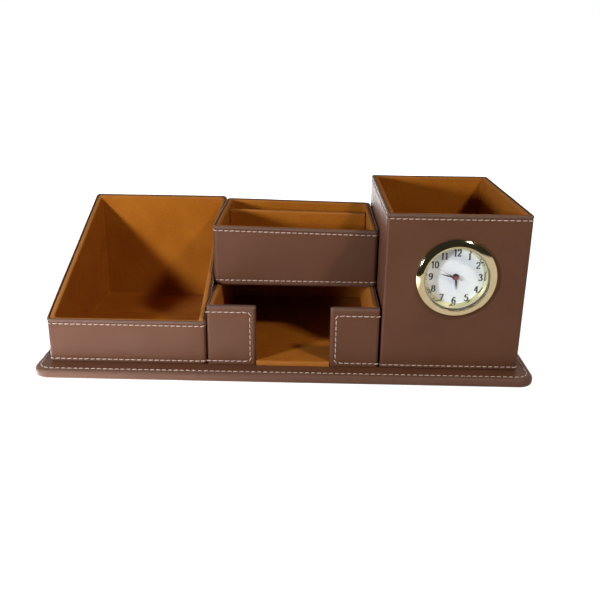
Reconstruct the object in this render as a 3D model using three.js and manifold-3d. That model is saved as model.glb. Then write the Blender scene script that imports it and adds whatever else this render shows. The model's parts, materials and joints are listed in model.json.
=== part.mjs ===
// Leather desk organizer: a sloped bin, a notched tray with a divided box on top of it,
// and a pen cup with an insert clock, glued side by side on one stitched base plate.
// Millimetres, +Z up, +Y to the back. The origin is the middle of the underside.
import * as THREE from 'three';
import { mergeVertices } from 'three/addons/utils/BufferGeometryUtils.js';
import Module from 'manifold-3d';

const wasm = await Module();
wasm.setup();

// Sheets that every wall is built from, outside to inside
const leatherThickness = 1.2;
const boardThickness = 2.2;
const liningThickness = 0.8;
const glueLine = 0.1;
const cutGap = 0.3;

// Base plate
const sideMargin = 9;
const frontMargin = 13;
const backMargin = 9;
const baseCornerRadius = 10;
const baseEdgeRadius = 2.5;
const baseBoardThickness = 2.6;
const turnUnderWidth = 12;
const feltThickness = 0.8;
const feltInset = 4;

// Boxes: outer sizes, and their places on the base plate
const boxDepth = 132;
const binWidth = 99.6;
const binFrontHeight = 28.8;
const binBackHeight = 82;
const binGap = 0.6;
const upperOverhang = 1;
const upperHeight = 39;
const upperSetBack = 41.4;
const trayWidth = 107;
const trayHeight = 39.6;
const tabWidth = 30.2;
const cupGap = 1.6;
const cupWidth = 86.4;
const cupHeight = 100;
const boxCornerRadius = 2.6;
const standingEdgeRadius = 1;
const hangingEdgeRadius = 2.4;

// Divider across the upper box
const dividerBoardThickness = 1.6;
const dividerDrop = 2;
const rearSlotWidth = 21.5;
const dividerEndGap = 0.3;

// Insert clock: shell, glass and dial
const clockCentreHeight = 60.7;
const bezelRadius = 25;
const bezelOpeningRadius = 20;
const bezelHeight = 3.2;
const bezelLipHeight = 1.3;
const bezelRoundShare = 0.5;
const lensThickness = 1.2;
const lensInset = 0.3;
const caseWall = 0.9;
const caseClearance = 0.3;
const lensSeatWidth = 0.5;
const handSpace = 3.7;
const dialRingWall = 0.4;
const dialRingSlant = 1.6;
const dialThickness = 0.4;
const backPlateThickness = 1.2;
const gripThickness = 1.1;
const gripRibDepth = 0.4;
const gripLength = 6;
const gripRibCount = 3;
const holeClearance = 0.2;
const seatGap = 0.1;

// Insert clock: movement, battery and what turns
const movementWidth = 29;
const movementHeight = 24;
const movementCornerCut = 3;
const gearPlateThickness = 2.4;
const batteryRadius = 5.8;
const batteryThickness = 3;
const batteryOffset = 7.4;
const batteryClearance = 0.2;
const coverLip = 0.9;
const coverLipThickness = 0.6;
const coinSlotWidth = 1;
const coinSlotLength = 7;
const coinSlotDepth = 0.4;
const knobOffset = 8;
const knobRadius = 3.4;
const knobThickness = 2.2;
const knobStemRadius = 1;
const knobGripCount = 12;
const knobGripDepth = 0.35;
const knobStepsPerGrip = 4;
const arborRadius = 0.45;
const tubeWall = 0.45;
const turningGap = 0.25;
const handThickness = 0.2;
const handPitch = 0.8;
const handTailShare = 0.6;
const handShoulderShare = 0.3;
const hourHandLength = 8.4;
const hourHandWidth = 1.3;
const minuteHandLength = 11.4;
const minuteHandWidth = 1.1;
const secondHandLength = 13.2;
const secondHandTail = 4.2;
const secondHandWidth = 0.4;
const secondHubRadius = 1.25;

// Time that the hands show at rest
const shownHours = 5;
const shownMinutes = 47;
const shownSeconds = 49.5;
const hoursPerTurn = 12;
const minutesPerTurn = 60;

// How finely round shapes are cut
const cornerSteps = 5;
const edgeSteps = 3;
const roundSteps = 48;
const smallRoundSteps = 20;
const bezelSteps = 6;

// How far a cutting shape runs past what it cuts
const overrun = 5;

// Sizes that follow from the ones above
const wall = leatherThickness + glueLine + boardThickness + glueLine + liningThickness;
const boardFace = leatherThickness + glueLine;
const linerFace = boardFace + boardThickness + glueLine;
const floorHeight = glueLine + boardThickness + glueLine + liningThickness;
const upperWidth = trayWidth + 2 * upperOverhang;
const baseWidth = sideMargin + binWidth + binGap + upperWidth + cupGap + cupWidth + sideMargin;
const baseDepth = frontMargin + boxDepth + backMargin;
const coverBottom = feltThickness + glueLine;
const baseBoardBottom = coverBottom + leatherThickness + glueLine;
const baseBoardTop = baseBoardBottom + baseBoardThickness;
const baseTop = baseBoardTop + glueLine + leatherThickness;
const boxFront = -baseDepth / 2 + frontMargin;
const boxBottom = baseTop + glueLine;
const binLeft = -baseWidth / 2 + sideMargin;
const upperLeft = binLeft + binWidth + binGap;
const trayLeft = upperLeft + upperOverhang;
const cupLeft = upperLeft + upperWidth + cupGap;

// Clock places along Y, counted from the cup's front face
const lensFront = -(bezelHeight + seatGap) + bezelLipHeight + glueLine;
const lensBack = lensFront + lensThickness;
const caseFront = lensBack + glueLine;
const dialFront = lensBack + handSpace;
const movementFront = dialFront + dialThickness + seatGap;
const movementBack = movementFront + gearPlateThickness + batteryThickness;
const backPlateFront = movementBack + seatGap;
const caseBack = backPlateFront + backPlateThickness;
const caseRadius = bezelOpeningRadius + lensSeatWidth;
const caseInnerRadius = caseRadius - caseWall;
const gripRadius = caseRadius + glueLine + gripThickness;
const holeRadius = gripRadius + holeClearance;
const batteryWellRadius = batteryRadius + batteryClearance;
const minuteTubeBore = arborRadius + turningGap;
const hourTubeBore = minuteTubeBore + tubeWall + turningGap;
const dialBore = hourTubeBore + tubeWall + turningGap;

// The hands lie in levels in front of the dial: hours first, then minutes, then seconds
const handFront = (level) => dialFront - level * handPitch;

const leather = new THREE.MeshStandardMaterial({ color: 0x6e4c3e, roughness: 0.5, metalness: 0 });
const lining = new THREE.MeshStandardMaterial({ color: 0xa05a1c, roughness: 0.95, metalness: 0 });
const felt = new THREE.MeshStandardMaterial({ color: 0x3a2a22, roughness: 1, metalness: 0 });
const board = new THREE.MeshStandardMaterial({ color: 0x9a9488, roughness: 0.9, metalness: 0 });
const gold = new THREE.MeshStandardMaterial({ color: 0xd8b76a, roughness: 0.15, metalness: 1 });
const glass = new THREE.MeshStandardMaterial({ color: 0xe6f0ee, roughness: 0.05, metalness: 0 });
const dialPaint = new THREE.MeshStandardMaterial({ color: 0xeef1f2, roughness: 0.6, metalness: 0 });
const handPaint = new THREE.MeshStandardMaterial({ color: 0x1c1c1e, roughness: 0.4, metalness: 0.2 });
const secondPaint = new THREE.MeshStandardMaterial({ color: 0xc4707a, roughness: 0.4, metalness: 0.1 });
const plastic = new THREE.MeshStandardMaterial({ color: 0x2b2b2d, roughness: 0.55, metalness: 0 });
const rubber = new THREE.MeshStandardMaterial({ color: 0xd9d6cc, roughness: 0.8, metalness: 0 });
const steel = new THREE.MeshStandardMaterial({ color: 0xb9bcc0, roughness: 0.3, metalness: 1 });

// Closed mesh to solid: only positions, shared corners merged, collapsed triangles left out
function toSolid(geometry) {
  const plain = geometry.clone();
  plain.deleteAttribute('normal');
  plain.deleteAttribute('uv');
  const merged = mergeVertices(plain);
  const corners = [];
  for (let i = 0; i < merged.index.count; i += 3) {
    const [a, b, c] = [merged.index.getX(i), merged.index.getX(i + 1), merged.index.getX(i + 2)];
    if (a !== b && b !== c && c !== a) corners.push(a, b, c);
  }
  return new wasm.Manifold(new wasm.Mesh({
    numProp: 3,
    vertProperties: new Float32Array(merged.attributes.position.array),
    triVerts: new Uint32Array(corners),
  }));
}

function toGeometry(solid) {
  const mesh = solid.getMesh();
  const geometry = new THREE.BufferGeometry();
  geometry.setAttribute('position', new THREE.BufferAttribute(mesh.vertProperties, mesh.numProp));
  geometry.setIndex(new THREE.BufferAttribute(mesh.triVerts, 1));
  geometry.computeVertexNormals();
  return geometry;
}

// Box between two corners, whose faces lie exactly on the given places
function block(x0, x1, y0, y1, z0, z1) {
  const geometry = new THREE.BoxGeometry(1, 1, 1);
  const corner = geometry.attributes.position;
  for (let i = 0; i < corner.count; i += 1) {
    corner.setX(i, corner.getX(i) > 0 ? x1 : x0);
    corner.setY(i, corner.getY(i) > 0 ? y1 : y0);
    corner.setZ(i, corner.getZ(i) > 0 ? z1 : z0);
  }
  return geometry;
}

function solidBlock(x0, x1, y0, y1, z0, z1) {
  return toSolid(block(x0, x1, y0, y1, z0, z1));
}

function roundedRectangle(x0, x1, y0, y1, radius) {
  const shape = new THREE.Shape();
  shape.absarc(x1 - radius, y0 + radius, radius, -Math.PI / 2, 0);
  shape.absarc(x1 - radius, y1 - radius, radius, 0, Math.PI / 2);
  shape.absarc(x0 + radius, y1 - radius, radius, Math.PI / 2, Math.PI);
  shape.absarc(x0 + radius, y0 + radius, radius, Math.PI, Math.PI * 1.5);
  shape.closePath();
  return shape;
}

// Slab with round corners seen from above
function slab(x0, x1, y0, y1, z0, z1, radius) {
  const shape = roundedRectangle(x0, x1, y0, y1, radius);
  const options = { depth: z1 - z0, bevelEnabled: false, curveSegments: cornerSteps };
  return new THREE.ExtrudeGeometry(shape, options).translate(0, 0, z0);
}

// The same with its upper and lower edges rounded over too
function softSlab(x0, x1, y0, y1, z0, z1, radius, edge) {
  const shape = roundedRectangle(x0 + edge, x1 - edge, y0 + edge, y1 - edge, radius - edge);
  const options = {
    depth: z1 - z0 - 2 * edge, bevelEnabled: true, bevelThickness: edge, bevelSize: edge,
    bevelSegments: edgeSteps, curveSegments: cornerSteps,
  };
  return new THREE.ExtrudeGeometry(shape, options).translate(0, 0, z0 + edge);
}

// Outline drawn as (y, z), pushed along +X from zero
function plateAlongX(shape, thickness) {
  const geometry = new THREE.ExtrudeGeometry(shape, { depth: thickness, bevelEnabled: false });
  return geometry.rotateX(Math.PI / 2).rotateZ(Math.PI / 2);
}

// Outline drawn as (x, z), pushed along +Y from zero
function plateAlongY(shape, thickness, steps = smallRoundSteps) {
  const options = { depth: thickness, bevelEnabled: false, curveSegments: steps };
  return new THREE.ExtrudeGeometry(shape, options).rotateX(Math.PI / 2).translate(0, thickness, 0);
}

function polygon(points) {
  return new THREE.Shape(points.map(([x, y]) => new THREE.Vector2(x, y)));
}

// Solid of revolution about the clock's axis from a closed outline of (radius, y) points
function turned(points, steps) {
  const outline = points.map(([radius, y]) => new THREE.Vector2(radius, y));
  if (THREE.ShapeUtils.area(outline) < 0) outline.reverse();
  const closed = [...outline, outline[0].clone()];
  return new THREE.LatheGeometry(closed, steps);
}

// Ring or disc of revolution with square edges
function turnedBand(inner, outer, y0, y1, steps) {
  return turned([[inner, y0], [outer, y0], [outer, y1], [inner, y1]], steps);
}

function named(name, geometry, material) {
  const mesh = new THREE.Mesh(geometry, material);
  mesh.name = name;
  return mesh;
}

// Everything above a box's rim, which may be lowered. Side walls slope from the low front to the
// high back over the whole depth, while the front and back walls stay level.
function aboveRim(box, drop) {
  const { left, right, front, back, bottom } = box;
  const low = bottom + box.frontHeight - drop;
  const high = bottom + box.backHeight - drop;
  const top = bottom + Math.max(box.frontHeight, box.backHeight) + overrun;
  const side = polygon([
    [front - overrun, low], [front, low], [back, high],
    [back + overrun, high], [back + overrun, top], [front - overrun, top],
  ]);
  const strip = plateAlongX(side, wall + overrun);
  const leftStrip = toSolid(strip.clone().translate(left - overrun, 0, 0));
  const rightStrip = toSolid(strip.translate(right - wall, 0, 0));
  const middle = solidBlock(left + wall, right - wall, front - overrun, back - wall, low, top);
  const rear = solidBlock(left + wall, right - wall, back - wall, back + overrun, high, top);
  return leftStrip.add(rightStrip).add(middle).add(rear);
}

// The same, grown sideways, so that the steps where a slope meets a level wall are covered too
function aroundRim(box, drop, spread) {
  const moved = (x) => aboveRim({ ...box, left: box.left + x, right: box.right + x }, drop);
  return moved(0).add(moved(spread)).add(moved(-spread));
}

// Leather wrapped round the outside: closed underneath where the box doesn't stand on the base,
// and folded inwards where cladding is given
function wrapSolid(box, cladding = null) {
  const { left, right, front, back, bottom } = box;
  const top = bottom + Math.max(box.frontHeight, box.backHeight) + overrun;
  const outside = toSolid(
    softSlab(left, right, front, back, bottom, top, boxCornerRadius, box.edgeRadius));
  const floor = box.hasBottom ? bottom + leatherThickness : bottom - overrun;
  const inside = solidBlock(
    left + leatherThickness, right - leatherThickness,
    front + leatherThickness, back - leatherThickness, floor, top + overrun);
  const hollow = cladding ? inside.subtract(cladding) : inside;
  return outside.subtract(hollow).subtract(aboveRim(box, 0));
}

// Greyboard stiffeners: front and back run the full width, the sides stand between them
function wallBoards(box, material) {
  const { left, right, front, back, bottom } = box;
  const foot = box.boardBottom;
  const drop = box.capThickness + cutGap;
  const sideCut = aboveRim(box, drop);
  const endCut = aroundRim(box, drop, liningThickness + cutGap);
  const low = bottom + box.frontHeight - drop;
  const high = bottom + box.backHeight - drop;
  const [x0, x1] = [left + boardFace, right - boardFace];
  const [y0, y1] = [front + boardFace, back - boardFace];
  const sideFront = front + linerFace;
  const sideBack = back - linerFace;
  const parts = {
    front: solidBlock(x0, x1, y0, y0 + boardThickness, foot, high).subtract(endCut),
    back: solidBlock(x0, x1, y1 - boardThickness, y1, foot, high).subtract(endCut),
    left: solidBlock(x0, x0 + boardThickness, sideFront, sideBack, foot, high).subtract(sideCut),
    right: solidBlock(x1 - boardThickness, x1, sideFront, sideBack, foot, high).subtract(sideCut),
  };
  return Object.entries(parts).map(([side, solid]) =>
    named(`${box.name}_${side}_board`, toGeometry(solid), material));
}

function floorBoard(box, material) {
  const { left, right, front, back } = box;
  const geometry = block(
    left + linerFace, right - linerFace, front + linerFace, back - linerFace,
    box.boardBottom, box.boardBottom + boardThickness);
  return named(`${box.name}_floor_board`, geometry, material);
}

// Hollow of a box inside its lining
function cavity(box) {
  const { left, right, front, back, bottom } = box;
  const top = bottom + Math.max(box.frontHeight, box.backHeight) + 2 * overrun;
  return solidBlock(left + wall, right - wall, front + wall, back - wall, box.floorTop, top);
}

// Lining: a tub inside the boards, turned outwards over their top edges
function liningSolid(box) {
  const { left, right, front, back, bottom } = box;
  const top = bottom + Math.max(box.frontHeight, box.backHeight);
  const tub = solidBlock(
    left + linerFace, right - linerFace, front + linerFace, back - linerFace,
    box.floorTop - liningThickness, top);
  const edge = solidBlock(
    left + boardFace, right - boardFace, front + boardFace, back - boardFace,
    bottom + Math.min(box.frontHeight, box.backHeight) - liningThickness, top);
  const turnedOver = edge.intersect(aroundRim(box, liningThickness, liningThickness));
  return tub.add(turnedOver).subtract(cavity(box)).subtract(aboveRim(box, 0));
}

function makeBox(fields) {
  const { left, width, front, depth, bottom } = fields;
  const skin = fields.hasBottom ? leatherThickness + glueLine : 0;
  return {
    capThickness: liningThickness,
    ...fields,
    right: left + width,
    back: front + depth,
    boardBottom: bottom + skin,
    floorTop: bottom + skin + floorHeight - glueLine,
  };
}

const bin = makeBox({
  name: 'bin', left: binLeft, width: binWidth, front: boxFront, depth: boxDepth, bottom: boxBottom,
  frontHeight: binFrontHeight, backHeight: binBackHeight, edgeRadius: standingEdgeRadius,
});
const tray = makeBox({
  name: 'tray', left: trayLeft, width: trayWidth, front: boxFront, depth: boxDepth,
  bottom: boxBottom, frontHeight: trayHeight, backHeight: trayHeight,
  edgeRadius: standingEdgeRadius, capThickness: leatherThickness,
});
const upper = makeBox({
  name: 'upper', left: upperLeft, width: upperWidth, front: boxFront + upperSetBack,
  depth: boxDepth - upperSetBack, bottom: boxBottom + trayHeight + glueLine,
  frontHeight: upperHeight, backHeight: upperHeight, edgeRadius: hangingEdgeRadius,
  hasBottom: true,
});
const cup = makeBox({
  name: 'cup', left: cupLeft, width: cupWidth, front: boxFront, depth: boxDepth, bottom: boxBottom,
  frontHeight: cupHeight, backHeight: cupHeight, edgeRadius: standingEdgeRadius,
});

// Base plate: board in a leather cover that turns under its edge, and a felt sheet below
function buildBase() {
  const group = new THREE.Group();
  const [x, y] = [baseWidth / 2, baseDepth / 2];
  const inset = leatherThickness + glueLine;
  const boardRadius = baseCornerRadius - inset;
  const boardPlate = slab(
    -x + inset, x - inset, -y + inset, y - inset, baseBoardBottom, baseBoardTop, boardRadius);
  const outside = toSolid(
    softSlab(-x, x, -y, y, coverBottom, baseTop, baseCornerRadius, baseEdgeRadius));
  const hollow = toSolid(slab(
    -x + leatherThickness, x - leatherThickness, -y + leatherThickness, y - leatherThickness,
    coverBottom + leatherThickness, baseTop - leatherThickness,
    baseCornerRadius - leatherThickness));
  const window = solidBlock(
    -x + turnUnderWidth, x - turnUnderWidth, -y + turnUnderWidth, y - turnUnderWidth,
    coverBottom - overrun, baseBoardBottom);
  const sheet = toSolid(slab(
    -x + feltInset, x - feltInset, -y + feltInset, y - feltInset, 0, feltThickness,
    baseCornerRadius - feltInset));
  const sunk = turnUnderWidth + cutGap;
  const pressedIn = solidBlock(
    -x + sunk, x - sunk, -y + sunk, y - sunk, feltThickness / 2, baseBoardBottom - glueLine);
  group.add(named('base_board', boardPlate, board));
  group.add(named('base_leather', toGeometry(outside.subtract(hollow).subtract(window)), leather));
  group.add(named('base_felt', toGeometry(sheet.add(pressedIn)), felt));
  return group;
}

function buildBin() {
  const group = new THREE.Group();
  group.add(named('bin_leather', toGeometry(wrapSolid(bin)), leather));
  group.add(...wallBoards(bin, board), floorBoard(bin, board));
  group.add(named('bin_lining', toGeometry(liningSolid(bin)), lining));
  return group;
}

// Tray: low box whose front is two tabs, open between them right down to the floor
const notchLeft = tray.left + tabWidth;
const notchRight = tray.right - tabWidth;

function trayLeather() {
  const { left, right, front, bottom } = tray;
  const capBottom = bottom + trayHeight - leatherThickness;
  const reach = front + wall;
  const [low, high] = [bottom - overrun, bottom + trayHeight + overrun];
  const notch = solidBlock(notchLeft, notchRight, front - overrun, reach + overrun, low, high);
  const caps = solidBlock(left, right, front, reach, capBottom, high);
  const edges = solidBlock(
    notchLeft - leatherThickness, notchRight + leatherThickness, front, reach, low, high);
  return wrapSolid(tray, caps.add(edges)).subtract(notch);
}

function tabBoard(name, x0, x1) {
  const y = tray.front + boardFace;
  const top = tray.bottom + trayHeight - leatherThickness - cutGap;
  return named(name, block(x0, x1, y, y + boardThickness, tray.boardBottom, top), board);
}

function trayFloorBoard() {
  const { left, right, front, back, boardBottom } = tray;
  const top = boardBottom + boardThickness;
  const behindTabs = front + wall + glueLine;
  const main = solidBlock(
    left + linerFace, right - linerFace, behindTabs, back - linerFace, boardBottom, top);
  const tongue = solidBlock(
    notchLeft + glueLine, notchRight - glueLine, front + liningThickness + glueLine,
    behindTabs + overrun, boardBottom, top);
  return named('tray_floor_board', toGeometry(main.add(tongue)), board);
}

function trayLining() {
  const { left, right, front, back, bottom, floorTop } = tray;
  const top = bottom + trayHeight;
  const reach = front + wall + glueLine;
  const mouth = solidBlock(
    notchLeft - boardFace, notchRight + boardFace, front - overrun, reach, bottom - overrun,
    top + overrun);
  const underCap = solidBlock(
    left, right, front - overrun, reach, top - leatherThickness - glueLine, top + overrun);
  const turnedIn = solidBlock(left, right, front - overrun, reach, bottom, floorTop - liningThickness);
  const tongue = solidBlock(
    notchLeft + glueLine, notchRight - glueLine, front, reach + overrun,
    floorTop - liningThickness, floorTop);
  const frontDrop = solidBlock(
    notchLeft + glueLine, notchRight - glueLine, front, front + liningThickness, bottom, floorTop);
  const edgeRing = solidBlock(left, right, front - overrun, reach, bottom, top + overrun)
    .subtract(solidBlock(
      left + linerFace, right - linerFace, front + linerFace, back, bottom, top + overrun));
  return liningSolid(tray).subtract(edgeRing).subtract(mouth).subtract(underCap)
    .subtract(turnedIn).add(tongue).add(frontDrop);
}

function buildTray() {
  const group = new THREE.Group();
  const walls = wallBoards(tray, board).filter((mesh) => mesh.name !== 'tray_front_board');
  group.add(named('tray_leather', toGeometry(trayLeather()), leather));
  group.add(tabBoard('tray_left_tab_board', tray.left + boardFace, notchLeft - boardFace));
  group.add(tabBoard('tray_right_tab_board', notchRight + boardFace, tray.right - boardFace));
  group.add(...walls, trayFloorBoard());
  group.add(named('tray_lining', toGeometry(trayLining()), lining));
  return group;
}

// Upper box, with a lined divider that leaves a narrow slot along its back
function buildUpperBox() {
  const group = new THREE.Group();
  const [x0, x1] = [upper.left + wall + dividerEndGap, upper.right - wall - dividerEndGap];
  const coverBack = upper.back - wall - rearSlotWidth;
  const skin = liningThickness + glueLine;
  const coverFront = coverBack - dividerBoardThickness - 2 * skin;
  const foot = upper.floorTop + glueLine;
  const top = upper.bottom + upperHeight - dividerDrop;
  const panel = block(x0 + skin, x1 - skin, coverFront + skin, coverBack - skin, foot, top - skin);
  const hollow = solidBlock(
    x0 + liningThickness, x1 - liningThickness, coverFront + liningThickness,
    coverBack - liningThickness, foot - overrun, top - liningThickness);
  const cover = solidBlock(x0, x1, coverFront, coverBack, foot, top).subtract(hollow);
  group.add(named('upper_leather', toGeometry(wrapSolid(upper)), leather));
  group.add(...wallBoards(upper, board), floorBoard(upper, board));
  group.add(named('upper_lining', toGeometry(liningSolid(upper)), lining));
  group.add(named('divider_board', panel, board));
  group.add(named('divider_lining', toGeometry(cover), lining));
  return group;
}

// Pen cup, bored through its front wall for the insert clock
function buildCup() {
  const group = new THREE.Group();
  const centreX = (cup.left + cup.right) / 2;
  const centreZ = cup.bottom + clockCentreHeight;
  const drill = new THREE.CylinderGeometry(holeRadius, holeRadius, wall + 2 * overrun, roundSteps);
  const hole = toSolid(drill.translate(centreX, cup.front + wall / 2, centreZ));
  const bored = (solid) => toGeometry(solid.subtract(hole));
  const boards = wallBoards(cup, board);
  const front = boards.find((mesh) => mesh.name === 'cup_front_board');
  front.geometry = bored(toSolid(front.geometry));
  group.add(named('cup_leather', bored(wrapSolid(cup)), leather));
  group.add(...boards, floorBoard(cup, board));
  group.add(named('cup_lining', bored(liningSolid(cup)), lining));
  return group;
}

// Bezel: a ring with a rounded crown, whose inner lip holds the glass in a rebate
function bezelGeometry() {
  const back = -seatGap;
  const front = back - bezelHeight;
  const lipBack = front + bezelLipHeight;
  const shoulder = front + bezelHeight * bezelRoundShare;
  const rebate = caseRadius + caseClearance;
  const middle = (bezelRadius + bezelOpeningRadius) / 2;
  const half = (bezelRadius - bezelOpeningRadius) / 2;
  const points = [];
  for (let i = 0; i <= bezelSteps; i += 1) {
    const angle = Math.PI * (i / bezelSteps);
    const foot = i < bezelSteps / 2 ? lipBack : shoulder;
    points.push([middle - half * Math.cos(angle), foot - (foot - front) * Math.sin(angle)]);
  }
  points.push([bezelRadius, back], [rebate, back], [rebate, lipBack]);
  return turned(points, roundSteps);
}

// Case: a shallow metal pan behind the glass, with holes for the battery and the setting stem
function caseGeometry() {
  const pan = toSolid(turned([
    [0, backPlateFront], [caseInnerRadius, backPlateFront], [caseInnerRadius, caseFront],
    [caseRadius, caseFront], [caseRadius, caseBack], [0, caseBack],
  ], roundSteps));
  const through = (radius, x) => {
    const drill = new THREE.CylinderGeometry(
      radius, radius, backPlateThickness + 2 * overrun, smallRoundSteps);
    return toSolid(drill.translate(x, (backPlateFront + caseBack) / 2, 0));
  };
  const batteryDoor = through(batteryWellRadius + batteryClearance, batteryOffset);
  const stemHole = through(knobStemRadius + turningGap, -knobOffset);
  return toGeometry(pan.subtract(batteryDoor).subtract(stemHole));
}

// Ring between glass and dial, whose polished inner face narrows towards the dial
function dialRingGeometry() {
  const outer = caseInnerRadius - caseClearance;
  const front = lensBack + seatGap;
  const back = dialFront - seatGap;
  const mouth = outer - dialRingWall;
  const throat = mouth - dialRingSlant;
  return turned([[mouth, front], [outer, front], [outer, back], [throat, back]], roundSteps);
}

// Rubber band that grips the bore, with ribs round it
function gripGeometry() {
  const inner = caseRadius + glueLine;
  const start = glueLine;
  const ribPitch = gripLength / gripRibCount;
  const points = [[inner, start]];
  for (let i = 0; i < gripRibCount; i += 1) {
    const y = start + i * ribPitch;
    points.push([gripRadius - gripRibDepth, y], [gripRadius, y + ribPitch / 2]);
  }
  points.push([gripRadius - gripRibDepth, start + gripLength], [inner, start + gripLength]);
  return turned(points, roundSteps);
}

// Movement: a plastic block with cut corners, its arbor, and a round well for the battery
function movementGeometry() {
  const [w, h, cut] = [movementWidth / 2, movementHeight / 2, movementCornerCut];
  const outline = polygon([
    [-w + cut, -h], [w - cut, -h], [w, -h + cut], [w, h - cut],
    [w - cut, h], [-w + cut, h], [-w, h - cut], [-w, -h + cut],
  ]);
  const body = plateAlongY(outline, movementBack - movementFront).translate(0, movementFront, 0);
  const arborFront = handFront(3) + handThickness + seatGap;
  const arborBack = movementFront + gearPlateThickness / 2;
  const arbor = turnedBand(0, arborRadius, arborFront, arborBack, smallRoundSteps);
  const well = new THREE.CylinderGeometry(
    batteryWellRadius, batteryWellRadius, 2 * batteryThickness, smallRoundSteps);
  well.translate(batteryOffset, movementBack, 0);
  return toGeometry(toSolid(body).add(toSolid(arbor)).subtract(toSolid(well)));
}

function batteryCoverGeometry() {
  const plug = turnedBand(
    0, batteryWellRadius, backPlateFront + seatGap, caseBack + coverLipThickness, smallRoundSteps);
  const lip = turnedBand(
    0, batteryWellRadius + coverLip, caseBack + seatGap, caseBack + coverLipThickness,
    smallRoundSteps);
  const slot = solidBlock(
    -coinSlotLength / 2, coinSlotLength / 2,
    caseBack + coverLipThickness - coinSlotDepth, caseBack + coverLipThickness + overrun,
    -coinSlotWidth / 2, coinSlotWidth / 2);
  return toGeometry(toSolid(plug).add(toSolid(lip)).subtract(slot));
}

// Setting knob: a scalloped head on a short stem through the back plate
function knobGeometry() {
  const headFront = caseBack + cutGap;
  const outline = new THREE.Shape();
  const steps = knobGripCount * knobStepsPerGrip;
  for (let i = 0; i < steps; i += 1) {
    const angle = (i / steps) * 2 * Math.PI;
    const radius = knobRadius - knobGripDepth * (1 + Math.cos(angle * knobGripCount)) / 2;
    outline[i === 0 ? 'moveTo' : 'lineTo'](radius * Math.cos(angle), radius * Math.sin(angle));
  }
  const head = plateAlongY(outline, knobThickness).translate(0, headFront, 0);
  const stem = turnedBand(
    0, knobStemRadius, movementBack + seatGap, headFront + knobThickness / 2, smallRoundSteps);
  return toGeometry(toSolid(head).add(toSolid(stem)));
}

// Hand: a pointed blade on a round boss, with a tube that reaches back over the arbor
function handGeometry(length, width, tail, bossRadius, bore, front, tubeBack) {
  const half = width / 2;
  const tailHalf = half * handTailShare;
  const shoulder = length * handShoulderShare;
  const blade = polygon([
    [-tailHalf, -tail], [tailHalf, -tail], [half, shoulder], [0, length], [-half, shoulder],
  ]);
  const plate = plateAlongY(blade, handThickness).translate(0, front, 0);
  const boss = turnedBand(0, bossRadius, front, front + handThickness, smallRoundSteps);
  const hand = toSolid(plate).add(toSolid(boss));
  if (bore === 0) return toGeometry(hand);
  const tube = turnedBand(0, bore + tubeWall, front, tubeBack, smallRoundSteps);
  const drill = turnedBand(0, bore, front - overrun, tubeBack + overrun, smallRoundSteps);
  return toGeometry(hand.add(toSolid(tube)).subtract(toSolid(drill)));
}

function buildHands() {
  const group = new THREE.Group();
  const tubeBack = movementFront - seatGap;
  const hour = named('hour_hand', handGeometry(
    hourHandLength, hourHandWidth, hourHandWidth, hourTubeBore + tubeWall, hourTubeBore,
    handFront(1), tubeBack), handPaint);
  const minute = named('minute_hand', handGeometry(
    minuteHandLength, minuteHandWidth, minuteHandWidth, minuteTubeBore + tubeWall, minuteTubeBore,
    handFront(2), tubeBack), handPaint);
  const second = named('second_hand', handGeometry(
    secondHandLength, secondHandWidth, secondHandTail, secondHubRadius, 0,
    handFront(3), handFront(3)), secondPaint);
  const minuteTurn = shownMinutes / minutesPerTurn;
  hour.rotation.y = 2 * Math.PI * ((shownHours + minuteTurn) / hoursPerTurn);
  minute.rotation.y = 2 * Math.PI * minuteTurn;
  second.rotation.y = 2 * Math.PI * (shownSeconds / minutesPerTurn);
  group.add(hour, minute, second);
  return group;
}

// Insert clock, placed with its axis through the middle of the bore in the cup's front wall
function buildClock() {
  const group = new THREE.Group();
  const dial = turnedBand(
    dialBore, caseInnerRadius - caseClearance, dialFront, dialFront + dialThickness, roundSteps);
  const lens = turnedBand(0, caseRadius - lensInset + caseClearance, lensFront, lensBack, roundSteps);
  const battery = named('clock_battery', turnedBand(
    0, batteryRadius, movementBack - batteryThickness + seatGap, movementBack, smallRoundSteps), steel);
  battery.position.x = batteryOffset;
  const cover = named('clock_battery_cover', batteryCoverGeometry(), plastic);
  cover.position.x = batteryOffset;
  const knob = named('clock_setting_knob', knobGeometry(), plastic);
  knob.position.x = -knobOffset;
  group.add(named('clock_bezel', bezelGeometry(), gold));
  group.add(named('clock_lens', lens, glass));
  group.add(named('clock_dial_ring', dialRingGeometry(), gold));
  group.add(named('clock_dial', dial, dialPaint));
  group.add(named('clock_case', caseGeometry(), steel));
  group.add(named('clock_grip_ring', gripGeometry(), rubber));
  group.add(named('clock_movement', movementGeometry(), plastic));
  group.add(battery, cover, knob, buildHands());
  group.position.set((cup.left + cup.right) / 2, cup.front, cup.bottom + clockCentreHeight);
  return group;
}

const organizer = new THREE.Group();
organizer.add(buildBase(), buildBin(), buildTray(), buildUpperBox(), buildCup(), buildClock());

export default organizer;
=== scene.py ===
"""Looks of a leather desk organizer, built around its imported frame.

Sizes are in millimetres until a piece becomes a mesh, which is in metres, as the frame is.
"""
import json
import logging
import math
from dataclasses import dataclass
from enum import Enum
from typing import Callable, Optional, Sequence, Union

import bmesh
import bpy
from mathutils import Matrix, Vector, noise


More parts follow.
